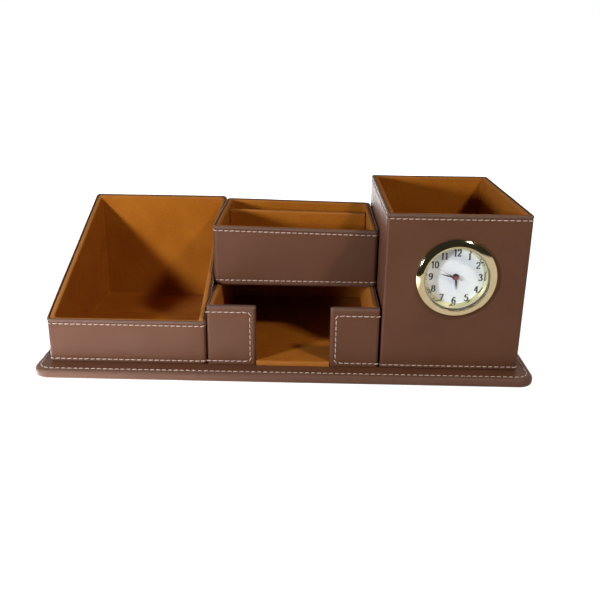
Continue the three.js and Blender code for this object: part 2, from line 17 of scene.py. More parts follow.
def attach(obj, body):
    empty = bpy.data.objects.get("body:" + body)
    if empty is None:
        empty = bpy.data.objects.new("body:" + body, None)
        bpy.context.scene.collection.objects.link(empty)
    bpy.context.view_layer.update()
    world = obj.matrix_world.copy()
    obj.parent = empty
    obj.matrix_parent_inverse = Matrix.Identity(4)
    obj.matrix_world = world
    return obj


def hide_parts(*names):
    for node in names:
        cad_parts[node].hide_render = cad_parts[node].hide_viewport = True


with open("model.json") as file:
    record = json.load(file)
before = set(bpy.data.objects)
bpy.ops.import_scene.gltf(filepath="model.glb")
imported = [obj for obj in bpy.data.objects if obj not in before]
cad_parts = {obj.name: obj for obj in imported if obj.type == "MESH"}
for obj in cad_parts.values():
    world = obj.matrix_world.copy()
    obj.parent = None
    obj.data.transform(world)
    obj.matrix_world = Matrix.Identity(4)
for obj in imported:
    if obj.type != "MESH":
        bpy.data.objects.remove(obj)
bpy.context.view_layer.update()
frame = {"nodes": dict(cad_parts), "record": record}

log = logging.getLogger("organizer")

MM = 0.001
NOISE_SEED = 11
MERGE_REACH = 2e-6
FLAT_REACH = 1e-6
SHARP_TURN = math.radians(38)
DRILL_STEPS = 96
END_REACHES = (0.8, 2.0)
RIM_SHARE = 0.85
UPPER_LEAN = 0.0165
CLOCK_AXIS = Vector((105.4, -64.0, 66.9))

Triple = tuple[float, float, float]
Node = bpy.types.Node
Socket = bpy.types.NodeSocket
Mesh = bpy.types.Mesh
Outputs = bpy.types.bpy_prop_collection
Value = Union[float, tuple, Socket, Node]


class Slot(Enum):
    """Material slots of the record."""

    LEATHER = "leather"
    LINING = "lining"
    FELT = "felt"
    GREYBOARD = "greyboard"
    GOLD = "gold"
    GLASS = "clock_glass"
    DIAL = "dial"
    STEEL = "clock_steel"
    RUBBER = "grip_rubber"
    PLASTIC = "clock_plastic"
    HANDS = "dark_hands"
    SECONDS = "seconds_paint"


class Body(Enum):
    """Bodies of the frame that new pieces ride on."""

    ROOT = "root"
    CLOCK = "clock_insert"


class Ends(Enum):
    """How a swept cross-section ends."""

    CLOSED = "closed"
    FILLED = "filled"


class Turn(Enum):
    """Which way a shell faces."""

    OUT = 1
    IN = -1


def linear(code: str, shade: float = 1.0) -> tuple[float, float, float, float]:
    """Turn a written colour into linear light with full alpha.

    Args:
        code: Six hexadecimal digits.
        shade: What its light is multiplied by.

    Returns:
        Red, green, blue and alpha.
    """
    parts = [int(code[i:i + 2], 16) / 255 for i in (0, 2, 4)]
    red, green, blue = (
        part / 12.92 if part <= 0.04045 else ((part + 0.055) / 1.055) ** 2.4 for part in parts)
    return (red * shade, green * shade, blue * shade, 1.0)


def quarter(steps: int) -> list[float]:
    """Give the angles of a quarter turn in even steps, from zero to a right angle."""
    return [step / steps * math.pi / 2 for step in range(steps + 1)]


# Node wiring


class Wiring:
    """Adds nodes to one tree and joins them. A node given as a value is its first output."""

    def __init__(self, tree: bpy.types.NodeTree) -> None:
        """Keep the tree that nodes are added to."""
        self.tree = tree

    def add(self, kind: str, inputs: Optional[dict] = None, **settings) -> Node:
        """Add a node.

        Args:
            kind: The node's type name.
            inputs: Socket names or numbers, each with its value or with what feeds it.
            **settings: Properties of the node.

        Returns:
            The new node.
        """
        node = self.tree.nodes.new(kind)
        for name, value in settings.items():
            setattr(node, name, value)
        for name, value in (inputs or {}).items():
            self.feed(node.inputs[name], value)
        return node

    def feed(self, socket: Socket, value: Value) -> None:
        """Set a socket, or link another socket or a node's first output to it."""
        if isinstance(value, Node):
            value = value.outputs[0]
        if isinstance(value, Socket):
            self.tree.links.new(value, socket)
        else:
            socket.default_value = value

    def math(self, operation: str, *values: Value, clamp: bool = False) -> Node:
        """Add a math node on the values."""
        return self.add("ShaderNodeMath", dict(enumerate(values)), operation=operation,
                        use_clamp=clamp)

    def blend(self, share: Value, first: Value, second: Value) -> Socket:
        """Mix two colours by a share."""
        node = self.add("ShaderNodeMix", {0: share, 6: first, 7: second}, data_type="RGBA")
        return node.outputs[2]

    def mix(self, share: Value, first: Value, second: Value) -> Node:
        """Mix two shaders by a share."""
        return self.add("ShaderNodeMixShader", {0: share, 1: first, 2: second})

    def spread(self, value: Value, low: Value, high: Value, start: float = 0.3,
               end: float = 0.7) -> Node:
        """Map a value from start to end onto low to high."""
        return self.add("ShaderNodeMapRange", {
            "Value": value, "From Min": start, "From Max": end, "To Min": low, "To Max": high})

    def vector(self, **parts: Value) -> Node:
        """Join X, Y and Z into a vector."""
        return self.add("ShaderNodeCombineXYZ", parts)


def add_sockets(tree: bpy.types.NodeTree, side: str, **kinds: str) -> None:
    """Add sockets to a group's interface.

    Args:
        tree: The group.
        side: INPUT or OUTPUT.
        **kinds: The sockets' names, each with the kind of its value.
    """
    for label, kind in kinds.items():
        tree.interface.new_socket(name=label, in_out=side, socket_type="NodeSocket" + kind)


# Shared effects


@dataclass(frozen=True)
class Effect:
    """An effect on coordinates, made into one shader node group when it is first asked for."""

    name: str
    settings: tuple[str, ...]
    result: str
    wire: Callable[[Wiring, Outputs], Value]

    def tree(self) -> bpy.types.NodeTree:
        """Give the effect's node group, making it if there is none yet."""
        tree = bpy.data.node_groups.get(self.name)
        if tree is None:
            tree = bpy.data.node_groups.new(self.name, "ShaderNodeTree")
            add_sockets(tree, "INPUT", Vector="Vector",
                        **{label: "Float" for label in self.settings})
            add_sockets(tree, "OUTPUT", **{self.result: "Float"})
            wires = Wiring(tree)
            given = wires.add("NodeGroupInput").outputs
            wires.add("NodeGroupOutput", {self.result: self.wire(wires, given)})
        return tree


def cloud_noise(wires: Wiring, given: Outputs) -> Value:
    """Make a soft, cloudy value between low and high."""
    cloud = wires.add("ShaderNodeTexNoise", {
        "Vector": given["Vector"], "Scale": given["Scale"], "Detail": 4.0, "Roughness": 0.55})
    return wires.spread(cloud, given["Low"], given["High"])


def pebble_height(wires: Wiring, given: Outputs) -> Value:
    """Make the height of fine pebbled leather with faint creases."""
    pebbles = wires.add("ShaderNodeTexVoronoi", {
        "Vector": given["Vector"], "Scale": given["Scale"], "Smoothness": 0.6},
        feature="SMOOTH_F1")
    creases = wires.add("ShaderNodeTexNoise", {
        "Vector": given["Vector"], "Scale": 70.0, "Detail": 5.0, "Distortion": 0.8})
    fold = wires.math("ABSOLUTE", wires.math("SUBTRACT", creases, 0.5))
    fold = wires.math("MULTIPLY", wires.spread(fold, 0.0, 1.0, 0.0, 0.04), given["Creases"])
    return wires.math("ADD", wires.math("MULTIPLY", pebbles, -0.8), fold)


def nap_height(wires: Wiring, given: Outputs) -> Value:
    """Make the height of a short brushed nap."""
    fibres = wires.add("ShaderNodeTexNoise", {
        "Vector": given["Vector"], "Scale": given["Scale"], "Detail": 3.0, "Roughness": 0.7})
    brushed = wires.add("ShaderNodeTexNoise", {
        "Vector": given["Vector"], "Scale": 90.0, "Detail": 2.0, "Distortion": 1.5})
    return wires.math("ADD", fibres, wires.math("MULTIPLY", brushed, 0.7))


def wear_mask(wires: Wiring, given: Outputs) -> Value:
    """Break up the wear and painted highlight that the mesh carries into an uneven mask."""
    patches = wires.add("ShaderNodeTexNoise", {
        "Vector": given["Vector"], "Scale": given["Scale"], "Detail": 3.0})
    return wires.math("MULTIPLY", given["Wear"], wires.spread(patches, 0.65, 1.0), clamp=True)


CLOUDS = Effect("cloudy_tone", ("Scale", "Low", "High"), "Value", cloud_noise)
PEBBLES = Effect("pebble_grain", ("Scale", "Creases"), "Height", pebble_height)
NAP = Effect("short_nap", ("Scale",), "Height", nap_height)
# Painted highlight: this mask lightens rolled edges, for wear and for the light they catch.
WORN_AND_HIGHLIT_EDGE = Effect("worn_and_highlit_edge", ("Wear", "Scale"), "Mask", wear_mask)


# Finishes


@dataclass(frozen=True)
class Surface:
    """A material in the making: its wiring, its shader, its output and object coordinates."""

    wires: Wiring
    shader: Node
    output: Node
    place: Socket

    def give(self, **inputs: Value) -> None:
        """Set or feed inputs of the shader, named with _ for a space."""
        for label, value in inputs.items():
            self.wires.feed(self.shader.inputs[label.replace("_", " ")], value)

    def effect(self, effect: Effect, **settings: Value) -> Node:
        """Place a shared effect at the object's coordinates."""
        return self.wires.add("ShaderNodeGroup", {"Vector": self.place, **settings},
                              node_tree=effect.tree())

    def cloud(self, scale: float, low: float = 0.0, high: float = 1.0) -> Node:
        """Place the cloudy tone."""
        return self.effect(CLOUDS, Scale=scale, Low=low, High=high)

    def toned(self, scale: float, first: tuple, second: tuple) -> Socket:
        """Blend two colours by clouds."""
        return self.wires.blend(self.cloud(scale), first, second)

    def wear(self) -> Socket:
        """Give the wear that the mesh carries, which also paints light: above 0 on rolled edges,
        wear with a painted highlight, below 0 on cut edges, the cut with painted shade in the gap
        beside it.
        """
        return self.wires.add("ShaderNodeAttribute", attribute_name="wear").outputs["Fac"]

    def bump(self, height: Value, depth: float, strength: float) -> None:
        """Let a height, in a depth given in metres, press into the shader's normal."""
        self.give(Normal=self.wires.add("ShaderNodeBump", {
            "Height": height, "Distance": depth, "Strength": strength}))


@dataclass(frozen=True)
class Finish:
    """A surface finish, made into one material the first time it is asked for."""

    name: str
    slot: Slot
    colour: str
    roughness: float

    def material(self) -> bpy.types.Material:
        """Give the finish's material, making it if there is none yet."""
        made = bpy.data.materials.get(self.name)
        if made is None:
            made = bpy.data.materials.new(self.name)
            made.use_nodes = True
            made.diffuse_color = linear(self.colour)
            made.node_tree.nodes.clear()
            wires = Wiring(made.node_tree)
            shader = wires.add("ShaderNodeBsdfPrincipled", {
                "Base Color": linear(self.colour), "Roughness": self.roughness})
            output = wires.add("ShaderNodeOutputMaterial", {"Surface": shader})
            place = wires.add("ShaderNodeTexCoord").outputs["Object"]
            self.dress(Surface(wires, shader, output, place))
        return made

    def dress(self, surface: Surface) -> None:
        """Add what makes this finish its own."""
        raise NotImplementedError


@dataclass(frozen=True)
class LeatherFinish(Finish):
    """Coated leather with a fine grain, cloudy colour, rolls lighter from wear and a painted
    highlight, and cut edges dark in their own colour and with painted shade in the gap and groove
    beside each roll.
    """

    pale: str
    # Edge tone: wear, and a painted highlight on rolled edges.
    edge: str
    # Cut tone: the dark cut edge, and painted shade in the gap and groove beside each roll.
    cut: str
    gloss: float = 0.24
    gloss_scale: float = 60.0
    cloud_scale: float = 22.0
    wear_scale: float = 240.0
    pebble_scale: float = 900.0
    creases: float = 0.5
    grain_depth: float = 0.00005

    def dress(self, surface: Surface) -> None:
        """Add clouded colour, edge wear with a painted highlight, dark cut edges with painted
        shade, uneven gloss and grain.
        """
        wires, wear = surface.wires, surface.wear()
        colour = surface.toned(self.cloud_scale, linear(self.colour), linear(self.pale))
        # Painted shade: where the edge wear is below 0, the cut tone darkens the cut edge and the
        # gap and groove beside the roll.
        cut = wires.math("MULTIPLY", wear, -1.0, clamp=True)
        colour = wires.blend(cut, colour, linear(self.cut))
        # Painted highlight: where the edge wear is above 0, the edge tone lightens rolled edges,
        # for wear and for the light they catch.
        lit_wear_mask = surface.effect(WORN_AND_HIGHLIT_EDGE, Wear=wear, Scale=self.wear_scale)
        surface.give(
            Base_Color=wires.blend(lit_wear_mask, colour, linear(self.edge)),
            Roughness=surface.cloud(
                self.gloss_scale, self.roughness - 0.05, self.roughness + 0.06),
            Specular_IOR_Level=self.gloss)
        grain = surface.effect(PEBBLES, Scale=self.pebble_scale, Creases=self.creases)
        surface.bump(grain, self.grain_depth, 0.7)


@dataclass(frozen=True)
class SuedeFinish(Finish):
    """Suede-like lining with a brushed nap, and turned edges lighter from wear and a painted
    highlight.
    """

    pale: str
    # Edge tone: wear, and a painted highlight on the tops of the turned rims.
    edge: str
    gloss: float = 0.08
    sheen: float = 0.05
    sheen_tint: Triple = (1.0, 0.62, 0.3)
    cloud_scale: float = 45.0
    fleck_scale: float = 900.0
    wear_scale: float = 160.0
    nap_scale: float = 1800.0
    nap_depth: float = 0.0002

    def dress(self, surface: Surface) -> None:
        """Add clouded and flecked colour, edge wear with a painted highlight, a faint sheen and
        the nap.
        """
        wires = surface.wires
        flecked = wires.add("ShaderNodeVectorMath", {
            0: surface.toned(self.cloud_scale, linear(self.colour), linear(self.pale)),
            "Scale": surface.cloud(self.fleck_scale, 0.9, 1.1)}, operation="SCALE")
        # Painted highlight: the edge tone lightens the turned rims, for wear and for the light
        # falling on their tops.
        lit_wear_mask = surface.effect(WORN_AND_HIGHLIT_EDGE, Wear=surface.wear(), Scale=self.wear_scale)
        surface.give(
            Base_Color=wires.blend(lit_wear_mask, flecked, linear(self.edge)),
            Specular_IOR_Level=self.gloss, Sheen_Weight=self.sheen, Sheen_Roughness=0.4,
            Sheen_Tint=(*self.sheen_tint, 1.0))
        surface.bump(surface.effect(NAP, Scale=self.nap_scale), self.nap_depth, 0.6)


@dataclass(frozen=True)
class FeltFinish(Finish):
    """Pressed felt or board: matte, flecked and slightly rough."""

    fleck: str
    fleck_scale: float
    depth: float = 0.0002
    gloss: float = 0.2

    def dress(self, surface: Surface) -> None:
        """Add flecks and a fibrous surface."""
        surface.give(
            Base_Color=surface.toned(self.fleck_scale, linear(self.colour), linear(self.fleck)),
            Specular_IOR_Level=self.gloss)
        surface.bump(surface.effect(NAP, Scale=self.fleck_scale), self.depth, 0.6)


@dataclass(frozen=True)
class MetalFinish(Finish):
    """Plated or drawn metal with faint smudges."""

    smudge: float = 0.05
    dull_share: float = 0.9

    def dress(self, surface: Surface) -> None:
        """Make it metal, and add smudges to its gloss and colour."""
        surface.give(
            Metallic=1.0,
            Roughness=surface.cloud(160.0, self.roughness, self.roughness + self.smudge),
            Base_Color=surface.toned(
                90.0, linear(self.colour), linear(self.colour, self.dull_share)))


@dataclass(frozen=True)
class PaintFinish(Finish):
    """Paint, plastic, rubber or thread: one colour, a little clouded, with a faint texture."""

    pale: str
    cloud_scale: float = 200.0
    texture_scale: float = 1500.0
    depth: float = 0.00003

    def dress(self, surface: Surface) -> None:
        """Add clouded colour and gloss and a faint texture."""
        surface.give(
            Base_Color=surface.toned(self.cloud_scale, linear(self.colour), linear(self.pale)),
            Roughness=surface.cloud(
                self.cloud_scale * 2, self.roughness - 0.04, self.roughness + 0.04))
        surface.bump(surface.effect(NAP, Scale=self.texture_scale), self.depth, 0.5)


@dataclass(frozen=True)
class GlassFinish(Finish):
    """Clear flat glass that lets light through to the dial."""

    bend: float = 1.3

    def dress(self, surface: Surface) -> None:
        """Make it glass, clear to shadow rays, with a few smears in its gloss."""
        wires = surface.wires
        surface.give(Transmission_Weight=1.0, IOR=self.bend,
                     Roughness=surface.cloud(120.0, 0.0, self.roughness))
        path = wires.add("ShaderNodeLightPath").outputs
        passing = wires.math("MAXIMUM", path["Is Shadow Ray"], path["Is Diffuse Ray"])
        wires.feed(surface.output.inputs["Surface"], wires.mix(
            passing, surface.shader, wires.add("ShaderNodeBsdfTransparent")))


# The edge tones are wear with a painted highlight on rolled edges; the leather's cut tone is the
# cut edge with painted shade in the gap and groove beside each roll.
LEATHER = LeatherFinish("brown_leather", Slot.LEATHER, "603c29", 0.5, pale="69432e",
                        edge="71574a", cut="3a261a")
LINING = SuedeFinish("caramel_suede", Slot.LINING, "9f5914", 0.95, pale="ac661c", edge="ae7036")
FELT = FeltFinish("brown_felt", Slot.FELT, "2c1f19", 1.0, fleck="43322a", fleck_scale=900.0)
BOARD = FeltFinish("grey_board", Slot.GREYBOARD, "9c978d", 0.95, fleck="868076",
                   fleck_scale=500.0, depth=0.0001)
GOLD = MetalFinish("polished_gold", Slot.GOLD, "ddc79a", 0.05)
MIRROR_GOLD = MetalFinish("mirror_gold", Slot.GOLD, "e0d8a8", 0.02, smudge=0.02)
STEEL = MetalFinish("drawn_steel", Slot.STEEL, "c4c6c9", 0.28, smudge=0.12)
GLASS = GlassFinish("flat_glass", Slot.GLASS, "ffffff", 0.03)
DIAL = PaintFinish("dial_paint", Slot.DIAL, "f5fcff", 0.55, pale="f9feff", cloud_scale=60.0)
INK = PaintFinish("numeral_ink", Slot.DIAL, "1a1e22", 0.7, pale="24282c", cloud_scale=400.0)
HANDS = PaintFinish("black_lacquer", Slot.HANDS, "101014", 0.6, pale="18181c")
SECONDS = PaintFinish("rose_lacquer", Slot.SECONDS, "8e3348", 0.5, pale="9c4054")
PLASTIC = PaintFinish("black_plastic", Slot.PLASTIC, "1d1d20", 0.5, pale="2a2a2e", depth=0.00006)
RUBBER = PaintFinish("pale_rubber", Slot.RUBBER, "d6d3c8", 0.75, pale="c9c5b8", depth=0.00008)
THREAD = PaintFinish("pale_thread", Slot.LEATHER, "c4a896", 0.8, pale="d8c4b4",
                     cloud_scale=500.0, texture_scale=4000.0, depth=0.0001)


# Meshes


class Draft:
    """Corners, faces and edge wear of one piece, with the painted highlights and shade that the
    edge wear also carries, gathered in millimetres.
    """

    def __init__(self) -> None:
        """Start with nothing."""
        self.corners: list[Vector] = []
        self.faces: list[tuple[int, ...]] = []
        self.wear: list[float] = []

    def loft(self, rows: Sequence[Sequence[Vector]], wear: Sequence[float] = (),
             around: bool = True, closed: bool = True, turn: Turn = Turn.OUT) -> None:
        """Join rows of points into a skin.

        Args:
            rows: Cross-sections of equal length, each running up the outside first.
            wear: Edge wear of each point of a cross-section, which also paints highlights and
                shade.
            around: Whether the last row joins the first.
            closed: Whether each cross-section closes on itself.
            turn: Which way the skin faces.
        """
        start = len(self.corners)
        count = len(rows[0])
        tones = list(wear) or [0.0] * count
        for row in rows:
            self.corners.extend(row)
            self.wear.extend(tones)
        for i in range(len(rows) if around else len(rows) - 1):
            here, there = start + i * count, start + (i + 1) % len(rows) * count
            for j in range(count if closed else count - 1):
                k = (j + 1) % count
                self.face((here + j, there + j, there + k, here + k), turn)
        if closed and not around:
            self.face(tuple(start + j for j in range(count)), turn)
            last = start + (len(rows) - 1) * count
            self.face(tuple(last + j for j in reversed(range(count))), turn)

    def face(self, corners: tuple[int, ...], turn: Turn) -> None:
        """Add a face, turned round where it faces inwards."""
        self.faces.append(corners if turn is Turn.OUT else corners[::-1])

    def join(self, other: "Draft") -> None:
        """Take in everything of another draft."""
        start = len(self.corners)
        self.corners += other.corners
        self.wear += other.wear
        self.faces += [tuple(start + i for i in face) for face in other.faces]

    def press(self, run: "StitchRun", depth: float, reach: float) -> None:
        """Press a soft groove under a line of stitches.

        Args:
            run: The line of stitches, on a flat face.
            depth: How deep the groove is at its middle.
            reach: Half of its width.
        """
        outward = run.outward[0]
        for i, corner in enumerate(self.corners):
            away = run.distance(corner)
            if away < reach:
                self.corners[i] = corner - outward * depth * (1 - (away / reach) ** 2)

    def ripple(self, height: float, length: float, seed: float) -> None:
        """Let the surface wander a little, as a hand-glued skin does.

        Args:
            height: How far it wanders.
            length: How long the ripples are.
            seed: Which part of the noise they come from.
        """
        noise.seed_set(NOISE_SEED)
        offset = Vector((seed, seed * 2, seed * 3))
        for i, corner in enumerate(self.corners):
            self.corners[i] = corner + noise.noise_vector(corner / length + offset) * height

    def mesh(self, name: str) -> Mesh:
        """Make the mesh in metres, with its doubles merged and its sharp edges marked."""
        mesh = bpy.data.meshes.new(name)
        mesh.from_pydata([corner * MM for corner in self.corners], [], self.faces)
        # Edge wear per point, which also paints highlights on rolled edges and shade beside cut
        # ones.
        tone = mesh.attributes.new("wear", "FLOAT", "POINT")
        tone.data.foreach_set("value", self.wear)
        work = bmesh.new()
        work.from_mesh(mesh)
        bmesh.ops.remove_doubles(work, verts=work.verts, dist=MERGE_REACH)
        bmesh.ops.dissolve_degenerate(work, edges=work.edges, dist=FLAT_REACH)
        mark_sharp(work)
        work.to_mesh(mesh)
        work.free()
        return mesh

    def piece(self, name: str, finish: Finish, *stands_for: str, body: Body = Body.ROOT) -> None:
        """Make a piece of it, as make_piece does."""
        make_piece(name, self.mesh(name), finish, *stands_for, body=body)


def mark_sharp(work: bmesh.types.BMesh) -> None:
    """Shade faces smooth, except across edges that turn sharply."""
    for face in work.faces:
        face.smooth = True
    for edge in work.edges:
        edge.smooth = len(edge.link_faces) == 2 and edge.calc_face_angle(0) < SHARP_TURN


def make_piece(name: str, mesh: Mesh, finish: Finish, *stands_for: str,
               body: Body = Body.ROOT) -> None:
    """Put a mesh into the scene as a piece of the object.

    Args:
        name: The piece's name.
        mesh: Its mesh, in place, in metres.
        finish: Its finish.
        *stands_for: Nodes of the frame that it replaces.
        body: The body that it rides on.
    """
    mesh.materials.clear()
    mesh.materials.append(finish.material())
    piece = bpy.data.objects.new(name, mesh)
    bpy.context.scene.collection.objects.link(piece)
    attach(piece, body.value)
    if stands_for:
        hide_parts(*stands_for)
    log.info("%s: %d faces, rides on %s", name, len(mesh.polygons), body.value)


def bore(mesh: Mesh, centre: Vector, radius: float, depth: float) -> None:
    """Bore a round hole along Y through a mesh.

    Args:
        mesh: The mesh, in metres, which is changed.
        centre: Middle of the hole, in millimetres.
        radius: Radius of the hole, in millimetres.
        depth: How far the drill runs to each side of the middle, in millimetres.
    """
    work = bmesh.new()
    turned = Matrix.Translation(centre * MM) @ Matrix.Rotation(math.pi / 2, 4, "X")
    bmesh.ops.create_cone(work, cap_ends=True, segments=DRILL_STEPS, radius1=radius * MM,
                          radius2=radius * MM, depth=2 * depth * MM, matrix=turned)
    drill_mesh = bpy.data.meshes.new("drill")
    work.to_mesh(drill_mesh)
    work.free()
    drill = bpy.data.objects.new("drill", drill_mesh)
    target = bpy.data.objects.new("target", mesh)
    for thing in (drill, target):
        bpy.context.scene.collection.objects.link(thing)
    cut = target.modifiers.new("cut", "BOOLEAN")
    cut.operation = "DIFFERENCE"
    cut.solver = "EXACT"
    cut.object = drill
    whole = bpy.context.evaluated_depsgraph_get()
    bored = bpy.data.meshes.new_from_object(target.evaluated_get(whole))
    work = bmesh.new()
    work.from_mesh(bored)
    mark_sharp(work)
    work.to_mesh(mesh)
    work.free()
    for thing in (drill, target):
        bpy.data.objects.remove(thing)
    for leftover in (drill_mesh, bored):
        bpy.data.meshes.remove(leftover)


def grow_mesh(name: str, start: Mesh, tree: bpy.types.NodeTree,
              values: dict[str, object]) -> Mesh:
    """Run a Geometry Nodes tree on a mesh and keep the result as a plain mesh.

    Args:
        name: Name of the result.
        start: The mesh that it starts from, which is used up.
        tree: The tree.
        values: Values of its inputs, by name.

    Returns:
        The new mesh.
    """
    holder = bpy.data.objects.new(name + "_start", start)
    bpy.context.scene.collection.objects.link(holder)
    modifier = holder.modifiers.new("grown", "NODES")
    modifier.node_group = tree
    for label, value in values.items():
        modifier[tree.interface.items_tree[label].identifier] = value
    whole = bpy.context.evaluated_depsgraph_get()
    mesh = bpy.data.meshes.new_from_object(holder.evaluated_get(whole))
    holder.modifiers.remove(modifier)
    bpy.data.objects.remove(holder)
    bpy.data.meshes.remove(start)
    mesh.name = name
    return mesh


# Box walls


@dataclass(frozen=True)
class Station:
    """A point of a wall's cross-section.

    It lies inset from the outer face, a share of the way from the foot to the rim, and lifted
    from there. Wear above 0 gives it the edge tone, wear with a painted highlight; below 0 it
    gives the dark cut tone, the cut edge with painted shade beside it.
    """

    inset: float
    share: float = 0.0
    lift: float = 0.0
    wear: float = 0.0


def rim_stations(*steps: Triple) -> list[Station]:
    """Give stations near the rim, each from its inset, its drop below the rim and its wear, which
    also paints light.
    """
    return [Station(inset, 1, -drop, wear) for inset, drop, wear in steps]


@dataclass(frozen=True)
class WallPoint:
    """One point of a wall seen from above, on its outer and its inner face."""

    outer: Vector
    inner: Vector
    outward: Vector

    def at(self, inset: float, wall: float) -> Vector:
        """Give the place at an inset from the outer face, in a wall of a thickness."""
        if inset <= 0:
            return self.outer - self.outward * inset
        if inset <= wall:
            return self.outer.lerp(self.inner, inset / wall)
        return self.inner - self.outward * (inset - wall)


@dataclass(frozen=True)
class Ring:
    """Closed wall of a box seen from above, with round corners and slightly bowed faces."""

    left: float
    right: float
    front: float
    back: float
    wall: float = 4.4
    outer_radius: float = 1.6
    inner_radius: float = 1.0
    bow: float = 0.12
    bow_reach: float = 5.0
    spacing: float = 4.0
    corner_steps: int = 6
    marks: tuple[float, ...] = ()

    def corner(self, index: int, radius: float, inset: float) -> tuple[Vector, float]:
        """Give the middle and the first angle of a corner, counted from the front right."""
        x, side_x = (self.right, -1) if index in (0, 1) else (self.left, 1)
        y, side_y = (self.front, 1) if index in (0, 3) else (self.back, -1)
        middle = Vector((x + side_x * (inset + radius), y + side_y * (inset + radius), 0))
        return middle, -math.pi / 2 + index * math.pi / 2

    def shares(self, index: int, length: float) -> list[float]:
        """Give the shares of a side's length at which it has points, denser near its ends."""
        count = max(3, round(length / self.spacing))
        even = [i / count for i in range(1, count)]
        ends = [reach / length for reach in END_REACHES if reach * 4 < length]
        found = even + ends + [1 - share for share in ends]
        marked = [(mark - self.left - self.outer_radius - self.bow) / length
                  for mark in self.marks]
        if index == 3:
            found += marked
        elif index == 1:
            found += [1 - share for share in marked]
        return sorted(share for share in found if 0 < share < 1)

    def points(self) -> list[WallPoint]:
        """Give the wall's points, counter-clockwise, starting with the front right corner."""
        found = []
        for index in range(4):
            outer, start = self.corner(index, self.outer_radius, self.bow)
            inner, _ = self.corner(index, self.inner_radius, self.wall)
            for angle in quarter(self.corner_steps):
                outward = Vector((math.cos(start + angle), math.sin(start + angle), 0))
                found.append(WallPoint(outer + outward * self.outer_radius,
                                       inner + outward * self.inner_radius, outward))
            first = found[-1]
            following, _ = self.corner((index + 1) % 4, self.outer_radius, self.bow)
            inner_next, _ = self.corner((index + 1) % 4, self.inner_radius, self.wall)
            end = following + first.outward * self.outer_radius
            inner_end = inner_next + first.outward * self.inner_radius
            length = (end - first.outer).length
            for share in self.shares(index, length):
                near = min(share, 1 - share) * length
                swell = self.bow * (1 - math.exp(-near / self.bow_reach))
                found.append(WallPoint(
                    first.outer.lerp(end, share) + first.outward * swell,
                    first.inner.lerp(inner_end, share), first.outward))
        return found

    def middle(self, place: Vector) -> Vector:
        """Give the nearest point of the line that runs along the middle of the ring."""
        half = min(self.right - self.left, self.back - self.front) / 2
        x = min(max(place.x, self.left + half), self.right - half)
        y = min(max(place.y, self.front + half), self.back - half)
        return Vector((x, y, place.z))


@dataclass(frozen=True)
class Slope:
    """Height of a box's rim: level, or rising to the back or, by a lean, to the left."""

    foot: float
    front: float
    back: float
    start: float = 0.0
    end: float = 1.0
    lean: float = 0.0
    lean_from: float = 0.0

    @classmethod
    def level(cls, foot: float, top: float, lean: float = 0.0,
              lean_from: float = 0.0) -> "Slope":
        """Give a rim of one height, from the foot to the top, apart from its lean."""
        return cls(foot, top - foot, top - foot, lean=lean, lean_from=lean_from)

    def rim(self, place: Vector) -> float:
        """Give the rim's height at a place."""
        share = min(max((place.y - self.start) / (self.end - self.start), 0), 1)
        raised = self.lean * (self.lean_from - place.x)
        return self.foot + self.front + (self.back - self.front) * share + raised

    def height(self, station: Station, place: Vector) -> float:
        """Give a station's height, with the rim as it is at a place."""
        return self.foot + station.share * (self.rim(place) - self.foot) + station.lift


def sweep(draft: Draft, ring: Ring, slope: Slope, stations: Sequence[Station], ends: Ends,
          fill_steps: int = 10, turn: Turn = Turn.OUT) -> None:
    """Run a cross-section round a ring.

    Args:
        draft: What the skin is added to.
        ring: The ring.
        slope: The rim's height along it.
        stations: The cross-section, running up the outside first.
        ends: Whether the section closes on itself, or runs to the ring's middle at both ends.
        fill_steps: How many steps it takes to the middle.
        turn: Which way the skin faces.
    """
    rows = []
    for point in ring.points():
        aside = RIM_SHARE * abs(point.outward.x)
        row = []
        for station in stations:
            place = point.at(station.inset, ring.wall)
            place.z = slope.height(station, point.outer.lerp(place, aside))
            row.append(place)
        if ends is Ends.FILLED:
            first, last = row[0], row[-1]
            low = [first.lerp(ring.middle(first), step / fill_steps)
                   for step in range(fill_steps, 0, -1)]
            high = [last.lerp(ring.middle(last), step / fill_steps)
                    for step in range(1, fill_steps + 1)]
            row = low + row + high
        rows.append(row)
    wear = [station.wear for station in stations]
    if ends is Ends.FILLED:
        wear = [wear[0]] * fill_steps + wear + [wear[-1]] * fill_steps
    draft.loft(rows, wear, closed=ends is Ends.CLOSED, turn=turn)


# Stitching


@dataclass(frozen=True)
class StitchRun:
    """A line of stitches, with the direction that the leather faces at each of its points."""

    points: Sequence[Vector]
    outward: Sequence[Vector]
    closed: bool = True

    def edges(self) -> list[tuple[int, int]]:
        """Give the numbers of the two points of each edge."""
        count = len(self.points)
        return [(i, (i + 1) % count) for i in range(count if self.closed else count - 1)]

    def distance(self, place: Vector) -> float:
        """Give the distance of a place from the line."""
        best = math.inf
        for i, j in self.edges():
            start, along = self.points[i], self.points[j] - self.points[i]
            share = min(max((place - start).dot(along) / max(along.length_squared, 1e-9), 0), 1)
            best = min(best, (start + along * share - place).length)
        return best


def ring_run(ring: Ring, slope: Slope, station: Station) -> StitchRun:
    """Lay a closed line of stitches round a box.

    Args:
        ring: The box's wall seen from above.
        slope: Its rim's height.
        station: The line's place on the wall.

    Returns:
        The line.
    """
    places, outward = [], []
    for point in ring.points():
        place = point.at(station.inset, ring.wall)
        place.z = slope.height(station, point.outer)
        places.append(place)
        outward.append(point.outward)
    return StitchRun(places, outward)


